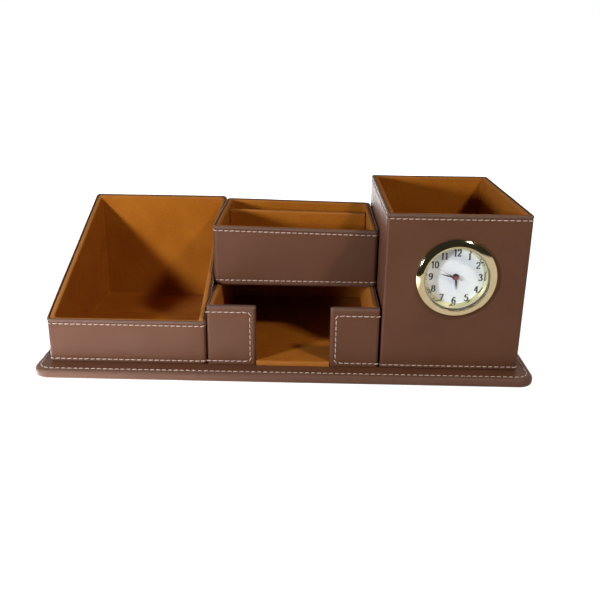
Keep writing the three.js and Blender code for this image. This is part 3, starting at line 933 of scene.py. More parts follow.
class StitchTree:
    """Geometry Nodes tree that lays thread stitches along lines of edges."""

    SAG_SHARE = -2.2
    RISE_SHARE = 0.22

    def __init__(self) -> None:
        """Build the tree: lines become evenly spaced points, and each point gets a stitch."""
        self.group = bpy.data.node_groups.new("thread_stitches", "GeometryNodeTree")
        add_sockets(self.group, "INPUT", Lines="Geometry", Pitch="Float", Length="Float",
                    Thickness="Float", Slant="Float", Unevenness="Float", Seed="Int",
                    Thread="Material")
        add_sockets(self.group, "OUTPUT", Stitches="Geometry")
        wires = Wiring(self.group)
        given = wires.add("NodeGroupInput").outputs
        spaced = wires.add("GeometryNodeResampleCurve", {
            "Curve": wires.add("GeometryNodeMeshToCurve", {0: given["Lines"]}),
            "Length": given["Pitch"]}, mode="LENGTH")
        placed = wires.add("GeometryNodeInstanceOnPoints", {
            "Points": spaced, "Instance": self.stitch(wires, given),
            "Rotation": self.rotation(wires, given)})
        whole = wires.add("GeometryNodeRealizeInstances", {0: placed})
        smooth = wires.add("GeometryNodeSetShadeSmooth", {0: whole})
        painted = wires.add("GeometryNodeSetMaterial", {
            "Geometry": smooth, "Material": given["Thread"]})
        wires.add("NodeGroupOutput", {0: painted})

    @staticmethod
    def rotation(wires: Wiring, given: Outputs) -> Node:
        """Turn each stitch along its line and off the leather, with an uneven slant."""
        facing = wires.add("GeometryNodeInputNamedAttribute", {"Name": "outward"},
                           data_type="FLOAT_VECTOR")
        axes = wires.add("FunctionNodeAxesToRotation", {
            0: facing.outputs["Attribute"], 1: wires.add("GeometryNodeInputTangent")},
            primary_axis="Z", secondary_axis="X")
        wobble = wires.add("FunctionNodeRandomValue", {2: -1.0, 3: 1.0, "Seed": given["Seed"]},
                           data_type="FLOAT")
        slant = wires.math("ADD", given["Slant"],
                           wires.math("MULTIPLY", wobble.outputs[1], given["Unevenness"]))
        return wires.add("FunctionNodeRotateRotation", {0: axes, 1: wires.vector(Z=slant)},
                         rotation_space="LOCAL")

    def stitch(self, wires: Wiring, given: Outputs) -> Node:
        """Add one stitch: a round thread that bends down into the leather at both ends."""
        thick, length = given["Thickness"], given["Length"]
        ball = wires.add("GeometryNodeMeshUVSphere", {"Segments": 8, "Rings": 7, "Radius": 0.5})
        laid = wires.add("GeometryNodeTransform", {
            "Geometry": ball, "Rotation": (0.0, math.pi / 2, 0.0),
            "Scale": wires.vector(X=thick, Y=thick, Z=length)})
        parts = wires.add("ShaderNodeSeparateXYZ", {0: wires.add("GeometryNodeInputPosition")})
        along = wires.math("DIVIDE", parts.outputs["X"], length)
        sag = wires.math("MULTIPLY", wires.math("MULTIPLY", along, along),
                         wires.math("MULTIPLY", thick, self.SAG_SHARE))
        lift = wires.math("ADD", sag, wires.math("MULTIPLY", thick, self.RISE_SHARE))
        return wires.add("GeometryNodeSetPosition", {
            "Geometry": laid, "Offset": wires.vector(Z=lift)})


@dataclass(frozen=True)
class Stitcher:
    """Sews the stitch lines of a sub-assembly."""

    tree: StitchTree
    pitch: float = 3.75
    length: float = 3.45
    thickness: float = 0.66
    slant: float = math.radians(3)
    unevenness: float = math.radians(3)

    def sew(self, name: str, runs: Sequence[StitchRun], seed: int) -> None:
        """Make the stitches of some lines as one piece.

        Args:
            name: The piece's name.
            runs: The lines.
            seed: Seed of their unevenness.
        """
        lines = bpy.data.meshes.new(name + "_lines")
        corners, edges, outward = [], [], []
        for run in runs:
            start = len(corners)
            corners.extend(point * MM for point in run.points)
            edges.extend((start + i, start + j) for i, j in run.edges())
            for direction in run.outward:
                outward.extend(direction)
        lines.from_pydata(corners, edges, [])
        facing = lines.attributes.new("outward", "FLOAT_VECTOR", "POINT")
        facing.data.foreach_set("vector", outward)
        stitches = grow_mesh(name, lines, self.tree.group, {
            "Pitch": self.pitch * MM, "Length": self.length * MM,
            "Thickness": self.thickness * MM, "Slant": self.slant,
            "Unevenness": self.unevenness, "Seed": seed, "Thread": THREAD.material()})
        make_piece(name, stitches, THREAD)


# Sub-assemblies


# Lift and inset of the soft channel that a line of stitches lies in
CHANNEL = ((-0.8, 0), (-0.4, 0.1), (0, 0.14), (0.4, 0.1))

# Inset, drop below the rim and wear of each step of a rolled edge. The wear also paints light:
# above 0 the edge tone is a painted highlight as well as wear; below 0, in the leather's roll, the
# cut tone is painted shade in the groove under the roll and the gap inside it, as well as the cut
# edge.
LEATHER_ROLL = (
    (0.2, 2.0, -0.5), (0.05, 1.75, 0.2), (-0.12, 1.4, 0.7), (-0.2, 0.95, 1.0),
    (-0.12, 0.4, 1.0), (0.08, 0.0, 0.8), (0.36, -0.24, 0.3), (0.66, -0.32, -0.3),
    (0.92, -0.26, -0.9), (1.12, -0.06, -1.0), (1.2, 0.6, -1.0))
TAB_ROLL = ((-0.05, 1.9, 0.2), (-0.1, 1.3, 0.5), (-0.05, 0.8, 0.8), (0.15, 0.4, 1.0),
            (0.5, 0.12, 1.0), (1.0, 0.0, 0.7))
DIVIDER_ROLL = ((0, 2.0, 0.1), (0, 1.3, 0.4), (0.12, 0.8, 0.7), (0.45, 0.35, 1.0),
                (0.95, 0.08, 1.0), (1.5, 0.0, 1.0))

# Shares of a wall's height at which its flat face has points
FACE_SHARES = (0.16, 0.24, 0.32, 0.4, 0.48, 0.56, 0.64, 0.72, 0.8, 0.87)
LINING_SHARES = (0.93, 0.86, 0.78, 0.7, 0.62, 0.54, 0.46, 0.4)
DIVIDER_SHARES = (0.2, 0.4, 0.6, 0.8)

# What a lining's seed adds to that of its sub-assembly
LINING_SEED = 50


@dataclass
class Box:
    """A leather box with a suede lining: outer sizes and the places of its two stitch lines."""

    name: str
    ring: Ring
    slope: Slope
    floor_top: float
    seed: int
    leather: float = 1.2
    lining: float = 0.8
    glue: float = 0.1
    top_stitch: float = 2.9
    foot_stitch: float = 2.2
    stitch_sink: float = 0.1
    foot_radius: float = 1.0
    # Edge tone on the soft foot: wear, and a painted highlight where light from below catches it.
    foot_wear: float = 0.35
    closed_below: bool = False
    hole_radius: float = 0.0
    wrap_ripple: tuple[float, float] = (0.1, 26.0)
    lining_ripple: tuple[float, float] = (0.08, 14.0)

    def wrap_stations(self) -> list[Station]:
        """Give the leather's cross-section: soft foot, face with stitch channels, rolled rim."""
        radius = self.foot_radius
        found = [] if self.closed_below else [Station(self.leather)]
        # Painted highlight: the soft foot gets the edge tone, for wear and for light from below.
        found += [Station(radius * (1 - math.sin(angle)), 0, radius * (1 - math.cos(angle)),
                          self.foot_wear * math.sin(angle)) for angle in quarter(4)]
        found += [Station(inset, 0, self.foot_stitch + lift)
                  for lift, inset in CHANNEL + ((0.8, 0),)]
        found += [Station(0, share) for share in FACE_SHARES]
        found += [Station(inset, 1, lift - self.top_stitch)
                  for lift, inset in CHANNEL + ((0.65, 0.04),)]
        found += [*rim_stations(*LEATHER_ROLL), Station(self.leather, 0.5)]
        if self.closed_below:
            found.append(Station(self.leather, 0, self.leather))
        return found

    def lining_stations(self) -> list[Station]:
        """Give the lining's cross-section: behind the boards, over the rim, down to the floor."""
        wall, lining = self.ring.wall, self.lining
        floor = self.floor_top - self.slope.foot
        face = self.leather + self.glue
        found = [Station(wall - lining, 0, floor - lining)]
        # Painted highlight: the lining's turned rim gets the edge tone, for wear and for the light
        # on its top.
        found += rim_stations(
            (wall - lining, 1.0, 0), (face, 1.0, 0.5), (face, 0.5, 0.4),
            (face + 0.15, 0.25, 0.6), (face + 0.5, 0.1, 0.8), (2.6, 0.02, 1.0),
            (wall - 1.0, 0.05, 1.0), (wall - 0.5, 0.17, 0.9), (wall - 0.15, 0.45, 0.7),
            (wall, 0.95, 0.4), (wall, 1.8, 0.1))
        found += [Station(wall, share) for share in LINING_SHARES]
        found += [Station(wall + past, 0, floor + lift) for past, lift in (
            (0, 2.4), (0, 1.2), (0.06, 0.6), (0.25, 0.2), (0.6, 0.03), (0.8, 0))]
        return found

    def make_skin(self, draft: Draft, part: str, finish: Finish) -> None:
        """Make a piece of a swept skin, bored for the clock where the box holds one."""
        name = f"{self.name}_{part}"
        mesh = draft.mesh(name)
        if self.hole_radius:
            bore(mesh, CLOCK_AXIS, self.hole_radius, 2 * self.ring.wall)
        make_piece(name, mesh, finish, f"{self.name}_{finish.slot.value}")

    def build(self, stitcher: Stitcher) -> None:
        """Make the leather, the lining and the stitches of the box."""
        wrap, lining = Draft(), Draft()
        sweep(wrap, self.ring, self.slope, self.wrap_stations(),
              Ends.FILLED if self.closed_below else Ends.CLOSED)
        wrap.ripple(*self.wrap_ripple, self.seed)
        self.make_skin(wrap, "leather_skin", LEATHER)
        sweep(lining, self.ring, self.slope, self.lining_stations(), Ends.FILLED, fill_steps=16)
        lining.ripple(*self.lining_ripple, self.seed + LINING_SEED)
        self.make_skin(lining, "suede_lining", LINING)
        runs = [ring_run(self.ring, self.slope, Station(self.stitch_sink, 1, -self.top_stitch)),
                ring_run(self.ring, self.slope, Station(self.stitch_sink, 0, self.foot_stitch))]
        stitcher.sew(self.name + "_stitches", runs, self.seed)


@dataclass
class BasePlate:
    """Flat base: a leather cover with a soft edge and one stitch line round its top."""

    half_width: float = 157.6
    half_depth: float = 77.0
    bottom: float = 0.9
    top: float = 6.1
    corner_radius: float = 10.0
    inner_radius: float = 2.0
    edge_radius: float = 2.3
    # Edge tone on the top edge and on the low roll: wear, and a painted sheen.
    edge_wear: float = 0.5
    roll_radius: float = 1.5
    roll_drop: float = 0.7
    roll_wear: float = 0.2
    leather: float = 1.2
    turn_under: float = 12.0
    stitch_inset: float = 3.4
    stitch_sink: float = 0.08
    ripple: tuple[float, float] = (0.05, 30.0)
    seed: int = 5

    def stations(self) -> list[Station]:
        """Give the cover's cross-section, from inside it round the edge to the top's middle."""
        thick = self.top - self.bottom
        skin, under, drop = self.leather, self.turn_under, self.roll_drop
        low, high = self.roll_radius, self.edge_radius
        found = [Station(inset, 0, lift) for inset, lift in (
            (skin + 2, thick - skin), (skin, thick - skin), (skin, skin), (under, skin),
            (under, 0), (3.9, 0), (3.7, -drop * 0.8), (3.3, -drop))]
        # Painted sheen: the low roll and the top edge get the edge tone, for wear and for the
        # sheen they show.
        found += [Station(low * (1 - math.sin(angle)), 0, low * (1 - math.cos(angle)) - drop,
                          self.roll_wear * math.sin(angle)) for angle in quarter(6)]
        found += [Station(high * (1 - math.cos(angle)), 0,
                          thick - high * (1 - math.sin(angle)), self.edge_wear)
                  for angle in quarter(6)]
        found += [Station(self.stitch_inset + shift, 0, thick - sink)
                  for shift, sink in CHANNEL + ((0.9, 0), (3, 0))]
        return found

    def build(self, stitcher: Stitcher) -> None:
        """Make the cover and its stitches."""
        ring = Ring(-self.half_width, self.half_width, -self.half_depth, self.half_depth,
                    wall=self.turn_under, outer_radius=self.corner_radius,
                    inner_radius=self.inner_radius, bow=0.0, spacing=5.0, corner_steps=12)
        cover = Draft()
        sweep(cover, ring, Slope.level(self.bottom, self.top), self.stations(), Ends.FILLED,
              fill_steps=18)
        cover.ripple(*self.ripple, self.seed)
        cover.piece("base_leather_cover", LEATHER, "base_leather")
        places = [point.at(self.stitch_inset, ring.wall) for point in ring.points()]
        for place in places:
            place.z = self.top - self.stitch_sink
        run = StitchRun(places, [Vector((0, 0, 1))] * len(places))
        stitcher.sew("base_stitches", [run], self.seed)


@dataclass
class FeltSheet:
    """Felt under the base, with soft, slightly uneven edges."""

    half_width: float = 153.6
    half_depth: float = 73.0
    corner_radius: float = 6.0
    thickness: float = 0.8
    ripple: tuple[float, float] = (0.12, 3.0)
    seed: int = 9

    def build(self) -> None:
        """Make the sheet, flat where it rests."""
        ring = Ring(-self.half_width, self.half_width, -self.half_depth, self.half_depth,
                    wall=5.0, outer_radius=self.corner_radius, inner_radius=1.0, bow=0.0,
                    spacing=3.0, corner_steps=10)
        stations = [Station(2.0), Station(0.35), Station(0.1, 0, 0.12), Station(0, 0, 0.4),
                    Station(0.1, 1, -0.12), Station(0.35, 1), Station(2.0, 1)]
        draft = Draft()
        sweep(draft, ring, Slope.level(0.0, self.thickness), stations, Ends.FILLED,
              fill_steps=14)
        draft.ripple(*self.ripple, self.seed)
        for corner in draft.corners:
            corner.z = min(max(corner.z, 0.0), self.thickness)
        draft.piece("base_felt_sheet", FELT, "base_felt")


@dataclass
class NotchedTray:
    """Low tray: two leather tabs with a notch between them, lined walls and a lined floor."""

    left: float = -48.0
    right: float = 60.2
    front: float = -64.0
    back: float = 68.0
    bottom: float = 6.2
    top: float = 45.8
    tab_width: float = 30.8
    wall: float = 4.4
    leather: float = 1.2
    lining: float = 0.8
    glue: float = 0.1
    play: float = 0.05
    floor_top: float = 9.3
    floor_gap: float = 0.02
    floor_steps: int = 30
    lip_radius: float = 1.1
    # Edge tone on the floor's lip: wear, and a painted highlight where its front edge catches the
    # light.
    lip_wear: float = 0.18
    corner_radius: float = 2.6
    stitch_top: tuple[float, float] = (3.8, 5.0)
    stitch_foot: float = 2.7
    stitch_edge: float = 3.7
    stitch_corner: float = 1.6
    stitch_start: float = 0.8
    groove_depth: float = 0.16
    groove_reach: float = 1.3
    hollow_inset: float = 1.25
    hollow_depth: float = 3.55
    hollow_foot: float = 0.4
    hollow_drop: float = 1.3
    ripple: tuple[float, float] = (0.05, 14.0)
    seed: int = 3

    def tab_run(self, outer: float, inner: float) -> StitchRun:
        """Give a tab's stitch line: along its top, down beside the notch and back below.

        Args:
            outer: The tab's edge at the tray's side.
            inner: The tab's edge at the notch.
        """
        side = 1 if inner > outer else -1
        x = inner - side * self.stitch_edge
        high = self.top - self.stitch_top[0 if side > 0 else 1]
        low = self.bottom + self.stitch_foot
        start = outer + side * self.stitch_start
        radius = self.stitch_corner
        bend = [(1 - math.sin(angle), 1 - math.cos(angle)) for angle in quarter(6)[1:6]]
        places = [(start, high), (x - side * radius, high)]
        places += [(x - side * radius * near, high - radius * far) for near, far in bend]
        places += [(x, high - radius), (x, low + radius)]
        places += [(x - side * radius * far, low + radius * near) for near, far in bend]
        places += [(x - side * radius, low), (start, low)]
        return StitchRun([Vector((px, self.front, pz)) for px, pz in places],
                         [Vector((0, -1, 0))] * len(places), False)

    def tab(self, draft: Draft, outer: float, inner: float) -> StitchRun:
        """Add one tab's leather, hollow where its board is, and give its stitch line."""
        run = self.tab_run(outer, inner)
        line = run.points[8].x
        near = (-1.6, -1.1, -0.6, 0, 0.6, 1.1, 1.6, 2.4)
        x0, x1 = min(outer, inner), max(outer, inner)
        ring = Ring(x0, x1, self.front, self.front + self.wall, wall=self.wall / 2 - 0.05,
                    outer_radius=1.8, inner_radius=0.05, bow=0.0, spacing=2.0,
                    marks=tuple(line + shift for shift in (-2.4, *near)))
        slope = Slope.level(self.bottom, self.top)
        stations = [Station(1.0), Station(0.3, 0, 0.1), Station(0, 0, 0.7)]
        for centre in (self.stitch_foot, run.points[0].z - self.bottom):
            stations += [Station(0, 0, centre + shift) for shift in near]
        stations += [Station(0, 0, lift) for lift in range(8, 31, 2)]
        stations.sort(key=lambda station: station.lift)
        stations += rim_stations(*TAB_ROLL)
        piece = Draft()
        sweep(piece, ring, slope, stations, Ends.FILLED, fill_steps=3)
        piece.press(run, self.groove_depth, self.groove_reach)
        inset = self.hollow_inset
        hollow = Ring(x0 + inset, x1 - inset, self.front + inset, self.front + self.hollow_depth,
                      wall=1.1, outer_radius=0.1, inner_radius=0.01, bow=0.0, spacing=40.0,
                      corner_steps=1)
        stations = [Station(0, 0, self.hollow_foot), Station(0, 1, -self.hollow_drop)]
        sweep(piece, hollow, slope, stations, Ends.FILLED, fill_steps=1, turn=Turn.IN)
        draft.join(piece)
        return run

    def path(self, inset: float, forward: float) -> list[Vector]:
        """Give the way along the left, back and right walls, seen from above.

        Args:
            inset: How far inside the outer faces it runs.
            forward: Where its two ends are.
        """
        radius = max(0.15, self.corner_radius - inset)
        x0, x1, y1 = self.left + inset, self.right - inset, self.back - inset
        straight = (forward, 0.0, y1 - radius - 1)
        found = [Vector((x1, y, 0)) for y in straight]
        for middle_x, start in ((x1 - radius, 0.0), (x0 + radius, math.pi / 2)):
            found += [Vector((middle_x + radius * math.cos(start + angle),
                              y1 - radius + radius * math.sin(start + angle), 0))
                      for angle in quarter(5)]
        return found + [Vector((x0, y, 0)) for y in reversed(straight)]

    def walls(self, draft: Draft, *section: Triple) -> None:
        """Add a skin along the left, back and right walls.

        Args:
            draft: What it is added to.
            *section: Inset, height and wear of each point, running up the outside first; the wear
                      also paints a highlight.
        """
        forward = self.front + self.wall + self.play
        lines = [self.path(inset, forward) for inset, _, _ in section]
        rows = [[Vector((place.x, place.y, height)) for place, (_, height, _)
                 in zip(places, section)] for places in zip(*lines)]
        draft.loft(rows, [wear for _, _, wear in section], around=False)

    def build(self, stitcher: Stitcher) -> None:
        """Make the tray's leather, lining and stitches."""
        notch = (self.left + self.tab_width, self.right - self.tab_width)
        skin = Draft()
        runs = [self.tab(skin, self.left, notch[0]), self.tab(skin, self.right, notch[1])]
        top, foot, thick = self.top, self.bottom, self.leather
        # Painted highlight: the rolled top gets the edge tone, for wear and for the light it
        # catches.
        self.walls(skin, (thick, foot, 0), (0.3, foot, 0), (0, foot + 0.5, 0), (0, top - 2, 0.2),
                   (-0.1, top - 1.2, 0.8), (0, top - 0.4, 1), (0.4, top, 1),
                   (0.9, top - 0.1, 0.8), (thick, top - 0.5, 0.3))
        skin.piece("tray_leather_skin", LEATHER, "tray_leather")
        lining = Draft()
        self.line_walls(lining, notch)
        self.line_floor(lining, notch)
        lining.ripple(*self.ripple, self.seed + LINING_SEED)
        lining.piece("tray_suede_lining", LINING, "tray_lining")
        stitcher.sew("tray_stitches", runs, self.seed)

    def line_walls(self, draft: Draft, notch: tuple[float, float]) -> None:
        """Add the lining of the walls and of the inner faces of the tabs."""
        face, wall = self.leather + self.glue, self.wall
        behind, back_face = self.front + wall, wall - self.lining
        top, floor = self.top, self.floor_top
        # Painted highlight: the lining's rolled top gets the edge tone, for wear and for the light
        # on it.
        self.walls(draft, (back_face, floor, 0), (back_face, top - 1, 0), (face, top - 1, 0.5),
                   (face, top - 0.4, 0.9), (face + 0.3, top - 0.05, 1), (3.4, top, 1),
                   (4.1, top - 0.2, 0.8), (wall, top - 0.8, 0.3), (wall, floor, 0))
        stations = [Station(0.2), Station(0, 0, 0.2), Station(0, 1, -0.2), Station(0.2, 1)]
        for x0, x1 in ((self.left + wall, notch[0] - face), (notch[1] + face, self.right - wall)):
            ring = Ring(x0 + self.play, x1, behind - self.lining, behind, wall=0.39,
                        outer_radius=0.3, inner_radius=0.01, bow=0.0, spacing=8.0)
            sweep(draft, ring, Slope.level(floor, top - self.leather - self.glue), stations,
                  Ends.FILLED, fill_steps=1)

    def line_floor(self, draft: Draft, notch: tuple[float, float]) -> None:
        """Add the floor, whose tongue turns down over the front edge between the tabs."""
        top, skin, front, radius = self.floor_top, self.lining, self.front, self.lip_radius
        x0, x1 = self.left + self.wall + self.play, self.right - self.wall - self.play
        tongue = (notch[0] + self.glue, notch[1] - self.glue)
        count = self.floor_steps
        columns = [x0 + (x1 - x0) * i / count for i in range(count + 1)]
        columns = [x for x in columns if all(abs(x - edge) > 1 for edge in tongue)]
        foot = self.bottom + self.glue
        # Painted highlight: the lip's front and rounded edge get the edge tone, for wear and for
        # the light they catch.
        lip = [(front, foot, 0.6), (front, top - radius, 0.8)]
        lip += [(front + radius * (1 - math.cos(angle)), top - radius * (1 - math.sin(angle)),
                 1.0 - step * self.lip_wear) for step, angle in enumerate(quarter(5)) if step]
        behind = front + self.wall
        depths = (behind, behind + 4, -40, -25, 0, 30, self.back - self.wall - self.play)
        section = lip + [(y, top, 0.0) for y in (front + 3, *depths)]
        section += [(y, top - skin, 0.0) for y in (*reversed(depths), front + 3, front + skin)]
        section.append((front + skin, foot, 0.0))
        inside = sorted([*tongue, *(x for x in columns if tongue[0] < x < tongue[1])])
        draft.loft([[Vector((x, y, z)) for y, z, _ in section] for x in inside],
                   [wear for _, _, wear in section], around=False)
        plate = [(y, top) for y in depths] + [(y, top - skin) for y in reversed(depths)]
        for x_from, x_to in ((x0, tongue[0] - self.floor_gap), (tongue[1] + self.floor_gap, x1)):
            side = sorted({x_from, x_to, *(x for x in columns if x_from < x < x_to)})
            draft.loft([[Vector((x, y, z)) for y, z in plate] for x in side], around=False)


@dataclass
class Divider:
    """Lined divider across the upper box, with a soft rolled top edge."""

    left: float = -43.95
    right: float = 56.15
    front: float = 38.7
    back: float = 42.1
    foot: float = 50.4
    top: float = 82.9
    skin: float = 0.8

    def build(self) -> None:
        """Make the divider's lining, hollow where its board is."""
        draft = Draft()
        skin = self.skin
        slope = Slope.level(self.foot, self.top, lean=UPPER_LEAN, lean_from=self.right)
        ring = Ring(self.left, self.right, self.front, self.back, wall=1.65, outer_radius=0.8,
                    inner_radius=0.02, bow=0.0)
        stations = [Station(0.2), Station(0, 0, 0.2)]
        stations += [Station(0, share) for share in DIVIDER_SHARES]
        stations += rim_stations(*DIVIDER_ROLL)
        sweep(draft, ring, slope, stations, Ends.FILLED, fill_steps=2)
        inner = Ring(self.left + skin, self.right - skin, self.front + skin, self.back - skin,
                     wall=0.85, outer_radius=0.05, inner_radius=0.01, bow=0.0, spacing=200.0,
                     corner_steps=1)
        sweep(draft, inner, slope, [Station(0, 0, 0.1), Station(0, 1, -skin)], Ends.FILLED,
              fill_steps=1, turn=Turn.IN)
        draft.piece("divider_suede", LINING, "divider_lining")


# Clock


Stroke = Sequence[tuple[float, float]]


def loop(middle: tuple[float, float], reach: tuple[float, float], steps: int) -> Stroke:
    """Give a closed oval stroke from its top, with a middle, half its size and its steps."""
    turns = [i * math.pi / steps for i in range(2 * steps + 1)]
    return [(middle[0] + reach[0] * math.sin(angle), middle[1] + reach[1] * math.cos(angle))
            for angle in turns]


NUMERALS: dict[str, Sequence[Stroke]] = {
    "0": (loop((0.3, 0.5), (0.23, 0.48), 8),),
    "1": (((0.3, 0.02), (0.3, 0.5), (0.3, 0.98)), ((0.3, 0.96), (0.2, 0.88), (0.1, 0.84)),
          ((0.14, 0.02), (0.3, 0.02), (0.46, 0.02))),
    "2": (((0.09, 0.74), (0.13, 0.9), (0.3, 0.98), (0.47, 0.89), (0.51, 0.72), (0.42, 0.5),
           (0.22, 0.25), (0.07, 0.04)),
          ((0.07, 0.03), (0.3, 0.03), (0.48, 0.04), (0.55, 0.16))),
    "3": (((0.1, 0.8), (0.18, 0.94), (0.32, 0.98), (0.46, 0.88), (0.46, 0.68), (0.34, 0.56),
           (0.24, 0.53)),
          ((0.24, 0.53), (0.42, 0.5), (0.53, 0.33), (0.49, 0.12), (0.32, 0.02), (0.14, 0.04),
           (0.06, 0.18))),
    "4": (((0.42, 0.02), (0.42, 0.5), (0.42, 0.97)), ((0.42, 0.97), (0.22, 0.62), (0.03, 0.3)),
          ((0.03, 0.28), (0.3, 0.28), (0.58, 0.28)), ((0.28, 0.02), (0.42, 0.02), (0.56, 0.02))),
    "5": (((0.52, 0.97), (0.34, 0.96), (0.16, 0.96)), ((0.16, 0.96), (0.14, 0.75), (0.12, 0.55)),
          ((0.12, 0.55), (0.28, 0.62), (0.46, 0.54), (0.53, 0.33), (0.45, 0.1), (0.28, 0.02),
           (0.12, 0.05), (0.05, 0.16))),
    "6": (((0.5, 0.88), (0.36, 0.98), (0.2, 0.87), (0.09, 0.6), (0.08, 0.3), (0.17, 0.07),
           (0.32, 0.02), (0.48, 0.12), (0.53, 0.31), (0.46, 0.51), (0.31, 0.57), (0.16, 0.48),
           (0.09, 0.34)),),
    "7": (((0.07, 0.82), (0.09, 0.95), (0.3, 0.96), (0.54, 0.96)),
          ((0.54, 0.96), (0.4, 0.62), (0.29, 0.32), (0.24, 0.02))),
    "8": (loop((0.3, 0.76), (0.18, 0.22), 7), loop((0.3, 0.28), (0.23, 0.26), 7)),
}
NUMERALS["9"] = [[(0.6 - x, 1 - y) for x, y in stroke] for stroke in NUMERALS["6"]]


def curve_through(points: Sequence[Vector], steps: int) -> list[Vector]:
    """Give a smooth line through points, in a number of steps between two of them."""
    found = []
    for i in range(len(points) - 1):
        before = points[max(i - 1, 0)]
        start, end = points[i], points[i + 1]
        after = points[min(i + 2, len(points) - 1)]
        for step in range(steps):
            t = step / steps
            found.append(0.5 * (2 * start + (end - before) * t
                                + (2 * before - 5 * start + 4 * end - after) * t * t
                                + (3 * start - before - 3 * end + after) * t ** 3))
    found.append(points[-1].copy())
    return found


@dataclass
class InsertClock:
    """Insert clock's bezel and printed numerals. The CAD's own parts make up the rest."""

    bezel_radius: float = 25.0
    opening_radius: float = 20.0
    bezel_height: float = 3.2
    bezel_lip: float = 0.4
    bezel_foot: float = 0.3
    bezel_tilt: float = math.radians(30)
    bezel_steps: int = 128
    crown_steps: int = 14
    seat: float = 0.1
    rebate_radius: float = 20.8
    lip_height: float = 1.3
    dial_front: float = 3.0
    numeral_radius: float = 15.2
    numeral_height: float = 4.15
    digit_advance: float = 0.56
    ink_height: float = 0.04
    thin_share: float = 0.11
    thick_share: float = 0.22

    def build(self) -> None:
        """Make the bezel and the numerals."""
        self.build_bezel()
        self.build_numerals()

    def bezel_outline(self) -> list[tuple[float, float]]:
        """Give the bezel's section: high at its inner lip, and falling to its outer edge."""
        front, back = -self.seat - self.bezel_height, -self.seat
        opening, soft, tilt = self.opening_radius, self.bezel_lip, self.bezel_tilt
        lip, crown = front + self.lip_height, opening + soft
        reach = self.bezel_radius - crown
        found = [(opening, lip), (opening, front + soft),
                 (opening + soft * 0.3, front + soft * 0.3)]
        for step in range(self.crown_steps + 1):
            angle = tilt + step / self.crown_steps * (math.pi / 2 - tilt)
            across = (math.sin(angle) - math.sin(tilt)) / (1 - math.sin(tilt))
            drop = (math.cos(tilt) - math.cos(angle)) / math.cos(tilt)
            found.append((crown + reach * across,
                          front + (self.bezel_height - self.bezel_foot) * drop))
        return found + [(self.bezel_radius, back), (self.rebate_radius, back),
                        (self.rebate_radius, lip)]

    def build_bezel(self) -> None:
        """Make the bezel by turning its section about the clock's axis."""
        outline = self.bezel_outline()
        rows = []
        for i in range(self.bezel_steps):
            angle = -i / self.bezel_steps * 2 * math.pi
            across = Vector((math.cos(angle), 0, math.sin(angle)))
            rows.append([CLOCK_AXIS + across * radius + Vector((0, depth, 0))
                         for radius, depth in outline])
        draft = Draft()
        draft.loft(rows)
        draft.piece("clock_bezel_ring", GOLD, "clock_bezel", body=Body.CLOCK)

    def build_numerals(self) -> None:
        """Make the printed numerals as thin raised ink."""
        draft = Draft()
        for hour in range(1, 13):
            angle = hour / 12 * 2 * math.pi
            middle = (self.numeral_radius * math.sin(angle), self.numeral_radius * math.cos(angle))
            text = str(hour)
            width = self.digit_advance * len(text) + 0.04
            for i, digit in enumerate(text):
                for stroke in NUMERALS[digit]:
                    shifted = [(x + i * self.digit_advance - width / 2, y - 0.5)
                               for x, y in stroke]
                    self.ink(draft, shifted, middle)
        draft.piece("clock_numerals", INK, body=Body.CLOCK)

    def ink(self, draft: Draft, stroke: Stroke, middle: tuple[float, float]) -> None:
        """Add one stroke of a numeral, thick where it runs upright and thin where it lies.

        Args:
            draft: What it is added to.
            stroke: Its points, in shares of the numeral's height about its middle.
            middle: The numeral's middle, from the clock's axis.
        """
        points = curve_through([Vector((x, y, 0)) for x, y in stroke], 5)
        rows = []
        for i, point in enumerate(points):
            along = points[min(i + 1, len(points) - 1)] - points[max(i - 1, 0)]
            along.normalize()
            width = self.thin_share + (self.thick_share - self.thin_share) * abs(along.y)
            across = Vector((-along.y, along.x, 0)) * width / 2
            row = []
            for side, lift in ((-1, 0), (-1, 1), (1, 1), (1, 0)):
                flat = (point + across * side) * self.numeral_height
                row.append(CLOCK_AXIS + Vector((
                    middle[0] + flat.x, self.dial_front - lift * self.ink_height,
                    middle[1] + flat.y)))
            rows.append(row)
        draft.loft(rows, around=False)


# Studio


WHITE = (1.0, 1.0, 1.0)


@dataclass(frozen=True)
class Lamp:
    """Square soft lamp: its place, aim and side in millimetres, and its power in watts."""

    name: str
    place: Triple
    aim: Triple
    power: float
    size: float
    colour: Triple = WHITE
    mirrored: bool = True

    def build(self) -> None:
        """Make the lamp."""
        data = bpy.data.lights.new(self.name, "AREA")
        data.energy = self.power
        data.size = self.size * MM
        data.color = self.colour
        place = Vector(self.place)
        lamp = bpy.data.objects.new(self.name, data)
        lamp.location = place * MM
        lamp.rotation_euler = (Vector(self.aim) - place).to_track_quat("-Z", "Y").to_euler()
        lamp.visible_glossy = self.mirrored
        bpy.context.scene.collection.objects.link(lamp)


LAMPS = (
    Lamp("key_lamp", (-400, -376, 178), (-60, 0, 40), 2.6, 60.0, (0.92, 1.0, 1.12)),
    Lamp("fill_lamp", (563, -564, 811), (30, 0, 30), 4.7, 120.0, (1.0, 0.89, 0.78)),
    Lamp("rear_lamp", (-60, 950, 260), (0, 60, 40), 3.2, 300.0, mirrored=False),
)


